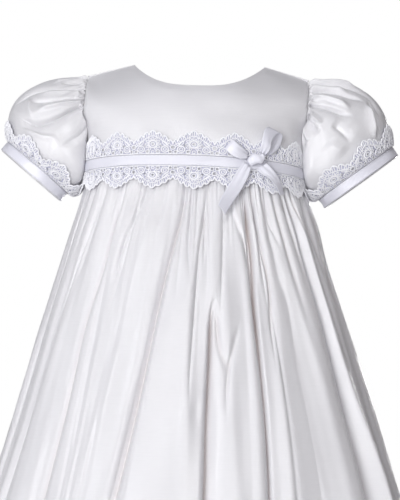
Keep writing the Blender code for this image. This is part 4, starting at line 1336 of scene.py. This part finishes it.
def lace_holes(pitch):
    """The open places of the net: (along, up, radius)."""
    holes = [(0.0, LACE_FLOWER_UP, 0.0010), (pitch / 2, 0.0064, 0.0013)]
    for side in (-1, 1):
        holes += [
            (side * 0.0042, 0.0024, 0.0010), (side * 0.0139, 0.0022, 0.0009), (side * 0.0068, 0.0078, 0.0008),
        ]
    return holes


def make_lace(name, node, pitch, repeats, limits, place_on, detail, kit):
    """One lace trim: a net and the cords on it, bent from flat strips onto the gown."""
    net_and_shade, thread, tree = kit
    motif = motif_curve(f"{name}_motif", lace_motif(pitch))
    mesh = result_of(
        motif, tree, repeats=repeats, pitch=pitch, cord_radius=detail.cord_radius, material=thread,
    )
    points = mesh_points(mesh)
    first = -(repeats // 2) * pitch
    points[:, 0] += first
    mesh.vertices.foreach_set("co", points.astype(np.float32).ravel())
    if limits:
        trimmed(mesh, *limits)
        points = mesh_points(mesh)
    cords = placed_mesh(f"{name}_cords", mesh, place_on(points, detail.cord_radius))
    finish_piece(cords, "lace")
    start, stop = limits if limits else (first - pitch / 2, first + (repeats - 0.5) * pitch)
    points, faces = flat_net(pitch, start, stop)
    piece = new_object(name, askew(place_on(points, 0.0)), faces, [net_and_shade], points[:, :2])
    finish_piece(piece, "lace", node)


def on_surface(surface, u, v, height, step_u, step_v, outward):
    """Points a height above surface(u, v), along its own normal turned to face outward."""
    base = surface(u, v)
    along = surface(u + step_u, v) - surface(u - step_u, v)
    up = surface(u, v + step_v) - surface(u, np.maximum(v - step_v, 0.0))
    normal = unit(np.cross(along, up))
    normal *= np.sign((normal * outward(u, v)).sum(-1, keepdims=True))
    return base + normal * height[..., None]


def trim_ends():
    """The angles at which the ribbon and lace round the waist start and end."""
    lap = math.degrees(math.asin((LAP + 2 * GAP) / WAIST_HALF_WIDTH))
    return -180 + lap, 180 + lap - 0.4


def body_outward(angle, _):
    return stack(np.sin(rad(angle)), -np.cos(rad(angle)), np.zeros(np.shape(angle)))


def waist_arch(angle):
    """How far the trims dip below the waist seam towards the sides."""
    return WAIST_ARCH * np.sin(rad(angle)) ** 2


def upper_lace_line(angle, height):
    """The bodice at a height above the ribbon's middle line."""
    above = RIBBON_WIDTH / 2 + GAP + height - waist_arch(angle)
    p = bodice(angle, np.maximum(0.0, above) / (bodice(angle, 1.0)[..., 2] - WAIST_Z))
    p[..., 2] += np.minimum(0.0, above)
    p[..., 1] += lap_lift(angle)
    return p


def lower_lace_line(angle, depth):
    """The smooth skirt at a depth below the ribbon's middle line."""
    dip = waist_arch(angle) * (1 - 0.7 * depth / LACE_WIDTH)
    p = skirt_ring(angle, RIBBON_WIDTH / 2 + GAP + depth + dip)[0]
    p[..., 1] += lap_lift(angle)
    return p


def make_waist_lace(detail, kit):
    """The upper and lower lace, from the right edge of the back opening round to the left one."""
    pitch = 2 * math.pi * math.sqrt((WAIST_HALF_WIDTH**2 + WAIST_HALF_DEPTH**2) / 2) / WAIST_SCALLOPS
    degrees = 360 / WAIST_SCALLOPS / pitch
    limits = tuple(end / degrees for end in trim_ends())
    bands = (("upper", upper_lace_line, TRIM_LIFT), ("lower", lower_lace_line, SKIRT_LACE_LIFT))
    for place, line, lift in bands:
        def place_on(points, extra, line=line, lift=lift):
            height = lift + LACE_WALL - LACE_SUNK + extra + points[:, 2]
            return on_surface(line, points[:, 0] * degrees, points[:, 1], height, 0.05, 0.0003, body_outward)

        make_lace(
            f"lace_waist_{place}", f"waist_lace_{place}", pitch, WAIST_SCALLOPS + 2, limits,
            place_on, detail, kit,
        )


def sleeve_lengths(cuff, turn, steps=60):
    """Lengths along the smooth sleeve up from the ribbon, for each turn, and the places measured."""
    alongs = 1 - np.arange(steps + 1) / steps
    line = sleeve_line(cuff, turn[:, None], alongs[None, :])
    pieces = np.linalg.norm(np.diff(line, axis=1), axis=-1)
    return np.concatenate([np.zeros((len(turn), 1)), np.cumsum(pieces, axis=1)], axis=1), alongs


def sleeve_up_from_ribbon(cuff, turn, distance):
    """The point of the smooth sleeve that far up from the ribbon, measured along the cloth."""
    walked, alongs = sleeve_lengths(cuff, turn)
    k = np.clip((walked <= distance[:, None]).sum(axis=1) - 1, 0, len(alongs) - 2)
    rows = np.arange(len(turn))
    share = (distance - walked[rows, k]) / (walked[rows, k + 1] - walked[rows, k])
    return sleeve_line(cuff, turn, mix(alongs[k], alongs[k + 1], share))


def make_sleeve_lace(detail, kit):
    """The lace above each sleeve's ribbon, a little longer than the ribbon's upper edge."""
    for side, cuff in CUFFS.items():
        around = sleeve_line(cuff, np.linspace(0, 360, 121), 1.0)
        length = np.linalg.norm(np.diff(around, axis=0), axis=1).sum() * 1.06
        degrees = 360 / length

        def line(turn, distance, cuff=cuff):
            return sleeve_up_from_ribbon(cuff, turn, distance)

        def out(turn, _, cuff=cuff):
            return cuff_spoke(cuff, turn)

        def place_on(points, extra, side=side, line=line, out=out, degrees=degrees):
            turn = points[:, 0] * degrees + 180 / SLEEVE_SCALLOPS
            v = np.clip(1 - points[:, 1] / LACE_WIDTH, 0, 1)
            lift = mix(SLEEVE_LACE_LIFT + LACE_WALL, RIBBON_WALL + 2 * GAP + LACE_WALL, v) - LACE_SUNK
            height = lift + extra + points[:, 2]
            placed = on_surface(line, turn, points[:, 1], height, 0.3, 0.0004, out)
            radial = line(turn, points[:, 1]) + unit(out(turn, 0)) * height[:, None]
            return on_side(side, mix(placed, radial, (v**3)[:, None]))

        name = f"lace_sleeve_{side}"
        pitch = length / SLEEVE_SCALLOPS
        make_lace(name, f"sleeve_lace_{side}", pitch, SLEEVE_SCALLOPS, None, place_on, detail, kit)
        if side == "left":
            for made in (name, f"{name}_cords"):
                bpy.data.objects[made].data.flip_normals()


# ---------------------------------------------------------------- waist ribbon, bow and buttons


def waist_band(angle, share):
    """The waist ribbon's line on the gown, at a share of the ribbon's width from its lower edge."""
    band = skirt_ring(angle, np.zeros(angle.shape))[0]
    band[..., 2] += (share - 0.5) * RIBBON_WIDTH - waist_arch(angle)
    band[..., 1] += lap_lift(angle)
    return band


def make_waist_ribbon(detail, ribbon):
    """The satin ribbon round the waist, eased a little off the cloth between its stitches."""
    angle, v = np.meshgrid(np.linspace(*trim_ends(), 420), np.linspace(0, 1, 12))
    bulge = 1 - (2 * v - 1) ** 2
    ease = bulge * (0.0004 + 0.0004 * waves(angle, v * 30, 17, (26, 60), 8))
    grid = waist_band(angle, v) + body_outward(angle, v) * (TRIM_LIFT + RIBBON_WALL + ease)[..., None]
    piece = walled_object("ribbon_waist", grid, detail.ribbon_thickness, [ribbon])
    finish_piece(piece, "ribbon", "waist_ribbon")


def before_gown(x, out, z):
    """The point that far out in front of the trims round the waist."""
    drop = np.maximum(0.0, WAIST_Z - z)
    width, depth = skirt_form(drop, 1), skirt_form(drop, 2)
    return stack(x, -depth * rounded(x / width, skirt_squareness(drop)) - BOW_CLEARANCE - out, z)


def make_bow_pieces(detail, ribbon):
    """The bow's two loops and two tails, each pinched into flutes where it meets the knot."""
    v = np.linspace(-1, 1, 15)[:, None]
    for name, rows in BOW.items():
        fine = through(np.array(rows) * MM, 9)
        middle = before_gown(fine[:, 0], fine[:, 1], fine[:, 2])
        half = fine[:, 3:] * vec((1, -1, 1)) * BOW_RIBBON_SHARE
        grid = middle + half * v[..., None]
        t = np.linspace(0, 1, len(fine))
        from_knot = t if "tail" in name else np.minimum(t, 1 - t) * 2
        fluted = 0.0006 * np.cos(v * 7.0 + 0.6) * np.exp(-from_knot / 0.22)
        crown = 0.0004 * (1 - v**2)
        grid = grid + normals_of(grid) * (fluted + crown)[..., None]
        piece = walled_object(f"ribbon_{name}", grid, detail.ribbon_thickness, [ribbon])
        finish_piece(piece, "ribbon", name)


def make_knot(ribbon):
    """The ribbon wrapped round the bow's middle, with the soft ridges of its folds."""
    turn, tilt = np.meshgrid(rad(np.linspace(0, 360, 56, endpoint=False)), rad(np.linspace(-86, 86, 32)))

    def squared(x):
        return np.copysign(np.abs(x) ** 0.85, x)

    ring = squared(np.cos(tilt))
    ridges = 1 + 0.18 * np.sin(tilt * 5 + 2.6 * np.sin(turn) + 0.6) * np.cos(tilt)
    x = KNOT_HALF[0] * squared(np.sin(tilt))
    y = KNOT_HALF[1] * ring * squared(np.cos(turn)) * ridges
    z = KNOT_HALF[2] * ring * squared(np.sin(turn)) * ridges + 0.20 * x
    grid = before_gown(*vec(KNOT_CENTRE)) + stack(x, y, z)
    piece = capped_object("ribbon_bow_knot", grid, [ribbon], measured_uv(grid))
    finish_piece(piece, "ribbon", "bow_knot")


def make_button_pieces(cover):
    """Cloth-covered domes with a rolled rim, set close on the back opening."""
    profile = (
        # share of the radius, height
        (0.00, 0.0001), (0.55, 0.0000), (0.82, 0.0001), (0.95, 0.0005), (1.00, 0.0011), (0.985, 0.0017),
        (0.92, 0.0023), (0.80, 0.0029), (0.62, 0.0034), (0.42, 0.0037), (0.20, 0.0039), (0.00, 0.0040),
    )
    turn = rad(np.linspace(0, 360, 40, endpoint=False))[:, None]
    back, across = vec(180.0), vec((-1, 0, 0))
    for number, rise in enumerate(BUTTON_RISES, start=1):
        base = bodice(back, vec(rise))
        base[1] += lap_lift(back)
        up = unit(bodice(back, vec(rise + 0.01)) - bodice(back, vec(rise - 0.01)))
        out = unit(np.cross(across, up))
        spoke = across * np.cos(turn) + up * np.sin(turn)
        rings = []
        for share, height in profile:
            pucker = 1 + 0.012 * np.cos(turn * 10) * (0.6 < share)
            middle = base + out * (height + 2 * GAP)
            rings.append(middle + spoke * (BUTTON_RADIUS * max(share, 0.004)) * pucker)
        grid = np.array(rings)
        uv = (grid - base) @ np.stack([across, up], axis=1)
        piece = capped_object(f"silk_button_{number}", grid, [cover], uv)
        finish_piece(piece, "button", f"button_{number}")


# ---------------------------------------------------------------- stitches


def stitch_tree():
    """Lays small rounded stitches end to end along a line, with a space between them."""
    tree, given, result = new_tree("stitches", (
        ("Spacing", "NodeSocketFloat", 0.0042),
        ("Stitch Length", "NodeSocketFloat", 0.0022),
        ("Thread Radius", "NodeSocketFloat", 0.00018),
        ("Material", "NodeSocketMaterial", None),
    ))
    curve = add_node(tree, "GeometryNodeMeshToCurve", (("Mesh", given.outputs["Geometry"]),))
    points = add_node(tree, "GeometryNodeCurveToPoints", (
        ("Curve", curve.outputs[0]), ("Length", given.outputs["Spacing"]),
    ), mode="LENGTH")
    ball = add_node(tree, "GeometryNodeMeshUVSphere", (("Segments", 6), ("Rings", 5), ("Radius", 0.5)))
    across = reckoned(tree, "MULTIPLY", given.outputs["Thread Radius"], 2.0)
    size = add_node(tree, "ShaderNodeCombineXYZ", (
        ("X", across), ("Y", across), ("Z", given.outputs["Stitch Length"]),
    ))
    copies = add_node(tree, "GeometryNodeInstanceOnPoints", (
        ("Points", points.outputs["Points"]),
        ("Instance", ball.outputs["Mesh"]),
        ("Rotation", points.outputs["Rotation"]),
        ("Scale", size.outputs[0]),
    ))
    return finish_tree(tree, given, result, copies.outputs[0])


def stitch_rows(name, lines, detail, thread, tree, spacing_share=1.0):
    """One object of stitches along several lines of points, already as the gown hangs."""
    vertices, edges = [], []
    for line in lines:
        start = len(vertices)
        vertices += line.tolist()
        edges += [(start + k, start + k + 1) for k in range(len(line) - 1)]
    mesh = bpy.data.meshes.new(f"{name}_lines")
    mesh.from_pydata(vertices, edges, [])
    made = result_of(
        linked(f"{name}_lines", mesh), tree, spacing=detail.stitch_spacing * spacing_share,
        stitch_length=detail.stitch_length, thread_radius=detail.thread_radius, material=thread,
    )
    made.name = name
    finish_piece(linked(name, made), "silk")


def make_stitch_pieces(detail, thread):
    """Rows along both edges of each ribbon, and one round the hem."""
    tree = stitch_tree()
    angles = np.linspace(-176, 176, 500)
    out = body_outward(angles, 0) * (TRIM_LIFT + RIBBON_WALL + 0.0003)
    lines = [askew(waist_band(angles, share) + out) for share in (0.10, 0.90)]
    stitch_rows("stitches_waist_ribbon", lines, detail, thread, tree)
    turns = np.linspace(0, 360, 260)
    for side, cuff in CUFFS.items():
        out = unit(cuff_spoke(cuff, turns)) * (GAP + RIBBON_WALL + 0.0002)
        lines = [askew(on_side(side, sleeve_line(cuff, turns, along) + out)) for along in (1.12, 1.88)]
        stitch_rows(f"stitches_sleeve_{side}", lines, detail, thread, tree)
    places = np.linspace(-90, 270, 1400)
    hem = skirt(places, np.full(places.shape, SKIRT_LENGTH - detail.hem_turn * 0.9), detail)[0]
    stitch_rows("stitches_hem", [askew(hem)], detail, thread, tree, 2.4)


# ---------------------------------------------------------------- materials


def new_material(name, colour, roughness, sheen=0.0, specular=0.5, ior=1.5):
    """A cloth shader with its plain values set, and its node tree."""
    material = bpy.data.materials.new(name)
    material.use_nodes = True
    shader = material.node_tree.nodes["Principled BSDF"]
    plain = {
        "Base Color": (*colour, 1), "Roughness": roughness, "Specular IOR Level": specular, "IOR": ior,
        "Sheen Weight": sheen, "Sheen Roughness": 0.35,
    }
    for label, value in plain.items():
        shader.inputs[label].default_value = value
    material.diffuse_color = (*colour, 1)
    return material, material.node_tree, shader


def uv_scaled(tree, scale):
    """The piece's own UV, in metres, stretched by a scale along each way."""
    uv = add_node(tree, "ShaderNodeUVMap", uv_map="UVMap")
    return add_node(tree, "ShaderNodeMapping", (("Vector", uv.outputs[0]), ("Scale", scale))).outputs[0]


def threads(tree, scale, direction):
    """Fine threads side by side, as a wave across the UV's x or y."""
    vector = uv_scaled(tree, scale)
    return add_node(
        tree, "ShaderNodeTexWave", (("Vector", vector), ("Scale", 1.0), ("Distortion", 1.2), ("Detail", 1.0)),
        wave_type="BANDS", bands_direction=direction,
    ).outputs["Fac"]


def noise(tree, vector, scale, detail=2.0):
    links = (("Vector", vector), ("Scale", scale), ("Detail", detail))
    return add_node(tree, "ShaderNodeTexNoise", links).outputs["Fac"]


def added(tree, a, b, share):
    """a plus a share of b."""
    return reckoned(tree, "ADD", a, reckoned(tree, "MULTIPLY", b, share))


def mixed(tree, factor, a, b, kind="MIX"):
    """The colour that a Mix node makes of two, with each input a socket or a plain value."""
    links = ((0, factor), (6, a), (7, b))
    return add_node(tree, "ShaderNodeMix", links, data_type="RGBA", blend_type=kind).outputs[2]


def bumped(tree, shader, height, distance, strength=1.0):
    links = (("Height", height), ("Distance", distance), ("Strength", strength))
    tree.links.new(add_node(tree, "ShaderNodeBump", links).outputs[0], shader.inputs["Normal"])


def tinted(tree, shader, factor, colour, low, high):
    """A base colour that varies a little between two shares of itself."""
    ramp = add_node(tree, "ShaderNodeMapRange", (("Value", factor), ("To Min", low), ("To Max", high)))
    colour = mixed(tree, 1.0, (*colour, 1), ramp.outputs[0], "MULTIPLY")
    tree.links.new(colour, shader.inputs["Base Color"])
    return colour


def silk_material(name, colours):
    """Silk with a fine plain weave and a few thicker threads across, with painted shade that makes it warmer
    and darker in its creases.
    """
    material, tree, shader = new_material(name, colours.silk, 0.29, sheen=0.06, specular=1.0, ior=1.7)
    weave = added(tree, threads(tree, (2600, 2600, 1), "X"), threads(tree, (2600, 2600, 1), "Y"), 1.0)
    slub = noise(tree, uv_scaled(tree, (40, 900, 1)), 1.0, 3.0)
    soft = noise(tree, uv_scaled(tree, (26, 9, 1)), 1.0, 2.0)
    height = added(tree, added(tree, weave, slub, 1.2), soft, 9.0)
    bumped(tree, shader, height, 0.00007, 0.5)
    plain = tinted(tree, shader, slub, colours.silk, 0.955, 1.02)
    # Painted shade: the fold_shade strength pulls the silk's colour towards the painted crease shade colour.
    painted_crease_shade = add_node(tree, "ShaderNodeAttribute", attribute_name="fold_shade").outputs["Fac"]
    shaded = mixed(tree, painted_crease_shade, plain, (*colours.painted_crease_shade, 1), "MULTIPLY")
    tree.links.new(shaded, shader.inputs["Base Color"])
    return material


def ribbon_material(name, colours):
    """Smooth satin with fine threads across."""
    material, tree, shader = new_material(name, colours.ribbon, 0.40, specular=0.9, ior=1.6)
    rib = threads(tree, (3200, 500, 1), "X")
    soft = noise(tree, uv_scaled(tree, (70, 40, 1)), 1.0, 2.0)
    bumped(tree, shader, added(tree, rib, soft, 5.0), 0.00006, 0.5)
    tinted(tree, shader, soft, colours.ribbon, 0.97, 1.02)
    return material


def thread_material(name, colours):
    """Matt cord with a fine twist."""
    material, tree, shader = new_material(name, colours.lace, 0.72, sheen=0.2, specular=0.35)
    coordinates = add_node(tree, "ShaderNodeTexCoord").outputs["Object"]
    grain = noise(tree, coordinates, 2600.0, 2.0)
    bumped(tree, shader, grain, 0.00012, 0.6)
    tinted(tree, shader, noise(tree, coordinates, 160.0), colours.lace, 0.93, 1.03)
    return material


def net_and_shade_material(name, colours):
    """The lace's fine net: thin threads both ways with darker meshes between them, in the net's colour, which
    is partly painted shade between the cords.
    """
    material, tree, shader = new_material(name, colours.net_and_shade, 0.8, sheen=0.1, specular=0.3)
    across, up = (threads(tree, (1500, 1500, 1), way) for way in ("X", "Y"))
    mesh = reckoned(tree, "MAXIMUM", across, up)
    tinted(tree, shader, mesh, colours.net_and_shade, 0.80, 1.03)
    bumped(tree, shader, mesh, 0.00015, 0.8)
    return material


def make_materials(colours):
    """Each finish once, by name."""
    found = bpy.data.materials
    makers = {
        "gown_silk": silk_material,
        "gown_ribbon": ribbon_material,
        "gown_lace_cord": thread_material,
        "gown_lace_net": net_and_shade_material,
        "gown_thread": thread_material,
    }
    return {name: found.get(name) or maker(name, colours) for name, maker in makers.items()}


# ---------------------------------------------------------------- settings


def length_property(label, text, value, low, high):
    return FloatProperty(
        name=label, description=text, default=value, min=low, max=high, unit="LENGTH", subtype="DISTANCE"
    )


def colour_property(label, text, value):
    return FloatVectorProperty(
        name=label, description=text, default=value, min=0, max=1, size=3, subtype="COLOR"
    )


def power_property(label, text, value):
    return FloatProperty(name=label, description=text, default=value, min=0.0, unit="POWER")


class GownDetail(bpy.types.PropertyGroup):
    """Sizes of the cloth's fine form, its edges, its lace and its stitches."""

    edge_roll: length_property("Edge Roll", "Radius of the roll at a turned edge", 0.0006, 0.0002, 0.002)
    hem_turn: length_property("Hem Turn", "Width of the hem turned up inside the skirt", 0.022, 0.005, 0.08)
    gather_depth: length_property(
        "Gather Depth", "Depth of the small gathers at the waist and sleeves", 0.0016, 0.0, 0.004
    )
    fold_sharpness: FloatProperty(
        name="Fold Sharpness", description="How crisp the lines along the skirt's folds are", default=1.0,
        min=0.0, max=2.0, subtype="FACTOR",
    )
    ribbon_thickness: length_property(
        "Ribbon Thickness", "Thickness of the satin ribbon", 0.0004, 0.0002, 0.001
    )
    cord_radius: length_property("Cord Radius", "Radius of the lace's cords", 0.00052, 0.0002, 0.001)
    stitch_length: length_property("Stitch Length", "Length of one stitch", 0.0018, 0.0008, 0.006)
    stitch_spacing: length_property(
        "Stitch Spacing", "Distance from one stitch to the next", 0.0034, 0.001, 0.02
    )
    thread_radius: length_property("Thread Radius", "Radius of the sewing thread", 0.00014, 0.00005, 0.0005)


class GownColours(bpy.types.PropertyGroup):
    """Colours of the gown's cloths, with painted shade in two of them: the silk's creases and the lace's net.
    """

    silk: colour_property("Silk", "Colour of the silk", (0.785, 0.778, 0.806))
    # Painted shade: the share of the silk's colour left deep in its creases, warm and darker, standing in for
    # their shadow and warm bounce light.
    painted_crease_shade: colour_property(
        "Fold", "Share of the silk's colour that shows deep in its creases", (0.80, 0.71, 0.66)
    )
    ribbon: colour_property("Ribbon", "Colour of the satin ribbon", (0.75, 0.75, 0.83))
    lace: colour_property("Lace Cord", "Colour of the lace's cords", (0.95, 0.95, 0.99))
    # The net's own colour, darkened and blued as painted shade so that the net stands as the shadow between
    # the cords.
    net_and_shade: colour_property("Lace Net", "Colour of the lace's net", (0.64, 0.64, 0.78))


class GownStage(bpy.types.PropertyGroup):
    """The floor, the lights and the camera."""

    floor_drop: length_property("Floor Drop", "Distance from the hem down to the floor", 0.004, 0.0, 1.0)
    floor_colour: colour_property("Floor", "Colour of the floor", (0.86, 0.86, 0.86))
    key_power: power_property("Key Light", "Power of the main light", 24.0)
    fill_power: power_property("Fill Light", "Power of the fill light", 7.0)
    back_power: power_property("Back Light", "Power of the light behind", 24.0)
    top_power: power_property("Top Light", "Power of the small light above", 7.0)
    sky: FloatProperty(
        name="Room Light", description="Strength of the light from all round", default=0.60, min=0.0, max=5.0
    )
    lens: FloatProperty(
        name="Lens", description="Focal length in millimetres", default=157.4, min=20.0, max=400.0
    )
    camera_distance: length_property(
        "Camera Distance", "Distance from the camera to the gown", 2.0, 0.5, 10.0
    )


# ---------------------------------------------------------------- operators


class GownOperator:
    """What each of the gown's operators shares."""

    bl_options = {"REGISTER", "UNDO"}

    def execute(self, context):
        self.make(context.scene.gown_detail, make_materials(context.scene.gown_colours))
        return {"FINISHED"}


class GOWN_OT_bodice(GownOperator, bpy.types.Operator):
    """Makes the front and both halves of the back of the bodice"""

    bl_idname = "gown.bodice"
    bl_label = "Bodice"

    def make(self, detail, finish):
        make_bodice_pieces(detail, finish["gown_silk"])


class GOWN_OT_skirt(GownOperator, bpy.types.Operator):
    """Makes the gathered skirt's front and back panels"""

    bl_idname = "gown.skirt"
    bl_label = "Skirt"

    def make(self, detail, finish):
        make_skirt_pieces(detail, finish["gown_silk"])


class GOWN_OT_sleeves(GownOperator, bpy.types.Operator):
    """Makes the puff sleeves and the ribbon round their hems"""

    bl_idname = "gown.sleeves"
    bl_label = "Sleeves"

    def make(self, detail, finish):
        make_sleeve_pieces(detail, finish["gown_silk"], finish["gown_ribbon"])


class GOWN_OT_lace(GownOperator, bpy.types.Operator):
    """Makes the scalloped lace at the waist and on the sleeves"""

    bl_idname = "gown.lace"
    bl_label = "Lace"

    def make(self, detail, finish):
        kit = (finish["gown_lace_net"], finish["gown_lace_cord"], cord_tree())
        make_waist_lace(detail, kit)
        make_sleeve_lace(detail, kit)


class GOWN_OT_ribbon(GownOperator, bpy.types.Operator):
    """Makes the waist ribbon and the tied bow"""

    bl_idname = "gown.ribbon"
    bl_label = "Ribbon and Bow"

    def make(self, detail, finish):
        make_waist_ribbon(detail, finish["gown_ribbon"])
        make_bow_pieces(detail, finish["gown_ribbon"])
        make_knot(finish["gown_ribbon"])


class GOWN_OT_buttons(GownOperator, bpy.types.Operator):
    """Makes the covered buttons of the back opening"""

    bl_idname = "gown.buttons"
    bl_label = "Buttons"

    def make(self, detail, finish):
        make_button_pieces(finish["gown_silk"])


class GOWN_OT_stitches(GownOperator, bpy.types.Operator):
    """Makes the hand stitches of the ribbons and the hem"""

    bl_idname = "gown.stitches"
    bl_label = "Stitches"

    def make(self, detail, finish):
        make_stitch_pieces(detail, finish["gown_thread"])


class GOWN_OT_stage(bpy.types.Operator):
    """Makes the floor, the room's light, four lamps and the camera"""

    bl_idname = "gown.stage"
    bl_label = "Stage"

    def execute(self, context):
        make_stage(context.scene, context.scene.gown_stage)
        return {"FINISHED"}


def make_floor(stage):
    """A plain pale floor just under the hem."""
    low = SOLIDS_BOX[0][2] - stage.floor_drop
    corners = [(x * FLOOR_HALF, y * FLOOR_HALF, low) for x, y in ((-1, -1), (1, -1), (1, 1), (-1, 1))]
    material, tree, shader = new_material("floor_matt", stage.floor_colour, 0.9, specular=0.1)
    coordinates = add_node(tree, "ShaderNodeTexCoord").outputs["Object"]
    tinted(tree, shader, noise(tree, coordinates, 3.0), stage.floor_colour, 0.99, 1.01)
    new_object("floor", corners, [(0, 1, 2, 3)], [material])


def make_room(scene, stage):
    """White to look at, and a soft room light: darker overhead, and warm and dim low on the right."""
    world = bpy.data.worlds.new("room")
    scene.world = world
    world.use_nodes = True
    tree = world.node_tree
    tree.nodes.clear()
    direction = add_node(tree, "ShaderNodeTexCoord").outputs["Generated"]
    parts = add_node(tree, "ShaderNodeSeparateXYZ", (("Vector", direction),))

    def blend(way, low, high, below, above):
        links = (("Value", parts.outputs[way]), ("From Min", low), ("From Max", high))
        share = add_node(tree, "ShaderNodeMapRange", links, interpolation_type="SMOOTHSTEP")
        return mixed(tree, share.outputs[0], below, above)

    plain = blend("Z", 0.0, 0.8, (1.0, 1.0, 1.02, 1), (0.42, 0.42, 0.46, 1))
    right = blend("Z", 0.15, 0.5, (0.09, 0.055, 0.035, 1), (0.42, 0.39, 0.38, 1))
    colour = blend("X", 0.25, 0.72, plain, right)
    lit = add_node(tree, "ShaderNodeBackground", (("Color", colour), ("Strength", stage.sky)))
    seen = add_node(tree, "ShaderNodeBackground", (("Color", (1, 1, 1, 1)), ("Strength", 1.0)))
    is_camera = add_node(tree, "ShaderNodeLightPath").outputs["Is Camera Ray"]
    both = add_node(tree, "ShaderNodeMixShader", ((0, is_camera), (1, lit.outputs[0]), (2, seen.outputs[0])))
    output = add_node(tree, "ShaderNodeOutputWorld")
    tree.links.new(both.outputs[0], output.inputs[0])


def aimed(obj, target):
    """Turns a camera or lamp to look at a point."""
    way = Vector(target) - obj.location
    obj.rotation_euler = way.to_track_quat("-Z", "Y").to_euler()


def make_lamp(name, place, target, size, power, colour):
    lamp = bpy.data.lights.new(name, "AREA")
    lamp.shape = "SQUARE"
    lamp.size = size
    lamp.energy = power
    lamp.color = colour
    obj = linked(name, lamp)
    obj.location = place
    aimed(obj, target)


def make_stage(scene, stage):
    """The floor, the room, the lamps and the camera, which looks a little up at the gown's upper part."""
    make_floor(stage)
    make_room(scene, stage)
    white = (1.0, 1.0, 1.0)
    make_lamp("key_lamp", (-0.85, -2.2, 0.0), (0, 0, -0.25), 0.8, stage.key_power, white)
    make_lamp("fill_lamp", (0.05, -2.3, -0.3), (0, 0, -0.3), 0.8, stage.fill_power, (0.98, 0.99, 1.0))
    make_lamp("back_lamp", (0.55, 2.4, 0.1), (0, 0, -0.3), 0.8, stage.back_power, white)
    make_lamp("top_lamp", (-0.15, -1.15, 1.45), (0, 0, -0.1), 0.3, stage.top_power, white)
    camera = bpy.data.cameras.new("camera")
    camera.lens = stage.lens
    camera.sensor_width = 36
    camera.clip_end = 100
    obj = linked("camera", camera)
    obj.location = (CAMERA_ACROSS, -stage.camera_distance, CAMERA_HEIGHT)
    aimed(obj, (CAMERA_ACROSS, 0, CAMERA_AIM_HEIGHT))
    scene.camera = obj
    scene.view_settings.view_transform = "Standard"


class GOWN_PT_panel(bpy.types.Panel):
    """Lists the gown's settings and pieces"""

    bl_idname = "GOWN_PT_panel"
    bl_label = "Christening Gown"
    bl_space_type = "VIEW_3D"
    bl_region_type = "UI"
    bl_category = "Gown"

    def draw(self, context):
        scene = context.scene
        for group in (scene.gown_detail, scene.gown_colours, scene.gown_stage):
            box = self.layout.box()
            for name in group.__annotations__:
                box.prop(group, name)
        for operator in OPERATORS:
            self.layout.operator(operator.bl_idname)


OPERATORS = (
    GOWN_OT_bodice, GOWN_OT_skirt, GOWN_OT_sleeves, GOWN_OT_lace, GOWN_OT_ribbon, GOWN_OT_buttons,
    GOWN_OT_stitches, GOWN_OT_stage,
)
GROUPS = {"gown_detail": GownDetail, "gown_colours": GownColours, "gown_stage": GownStage}


def register():
    for group in GROUPS.values():
        bpy.utils.register_class(group)
    for name, group in GROUPS.items():
        setattr(bpy.types.Scene, name, PointerProperty(type=group))
    for operator in OPERATORS:
        bpy.utils.register_class(operator)
    bpy.utils.register_class(GOWN_PT_panel)


def unregister():
    bpy.utils.unregister_class(GOWN_PT_panel)
    for operator in reversed(OPERATORS):
        bpy.utils.unregister_class(operator)
    for name in GROUPS:
        delattr(bpy.types.Scene, name)
    for group in reversed(list(GROUPS.values())):
        bpy.utils.unregister_class(group)


def main():
    register()
    bpy.ops.gown.bodice()
    bpy.ops.gown.skirt()
    bpy.ops.gown.sleeves()
    bpy.ops.gown.lace()
    bpy.ops.gown.ribbon()
    bpy.ops.gown.buttons()
    bpy.ops.gown.stitches()
    bpy.ops.gown.stage()


if __name__ == "__main__":
    main()
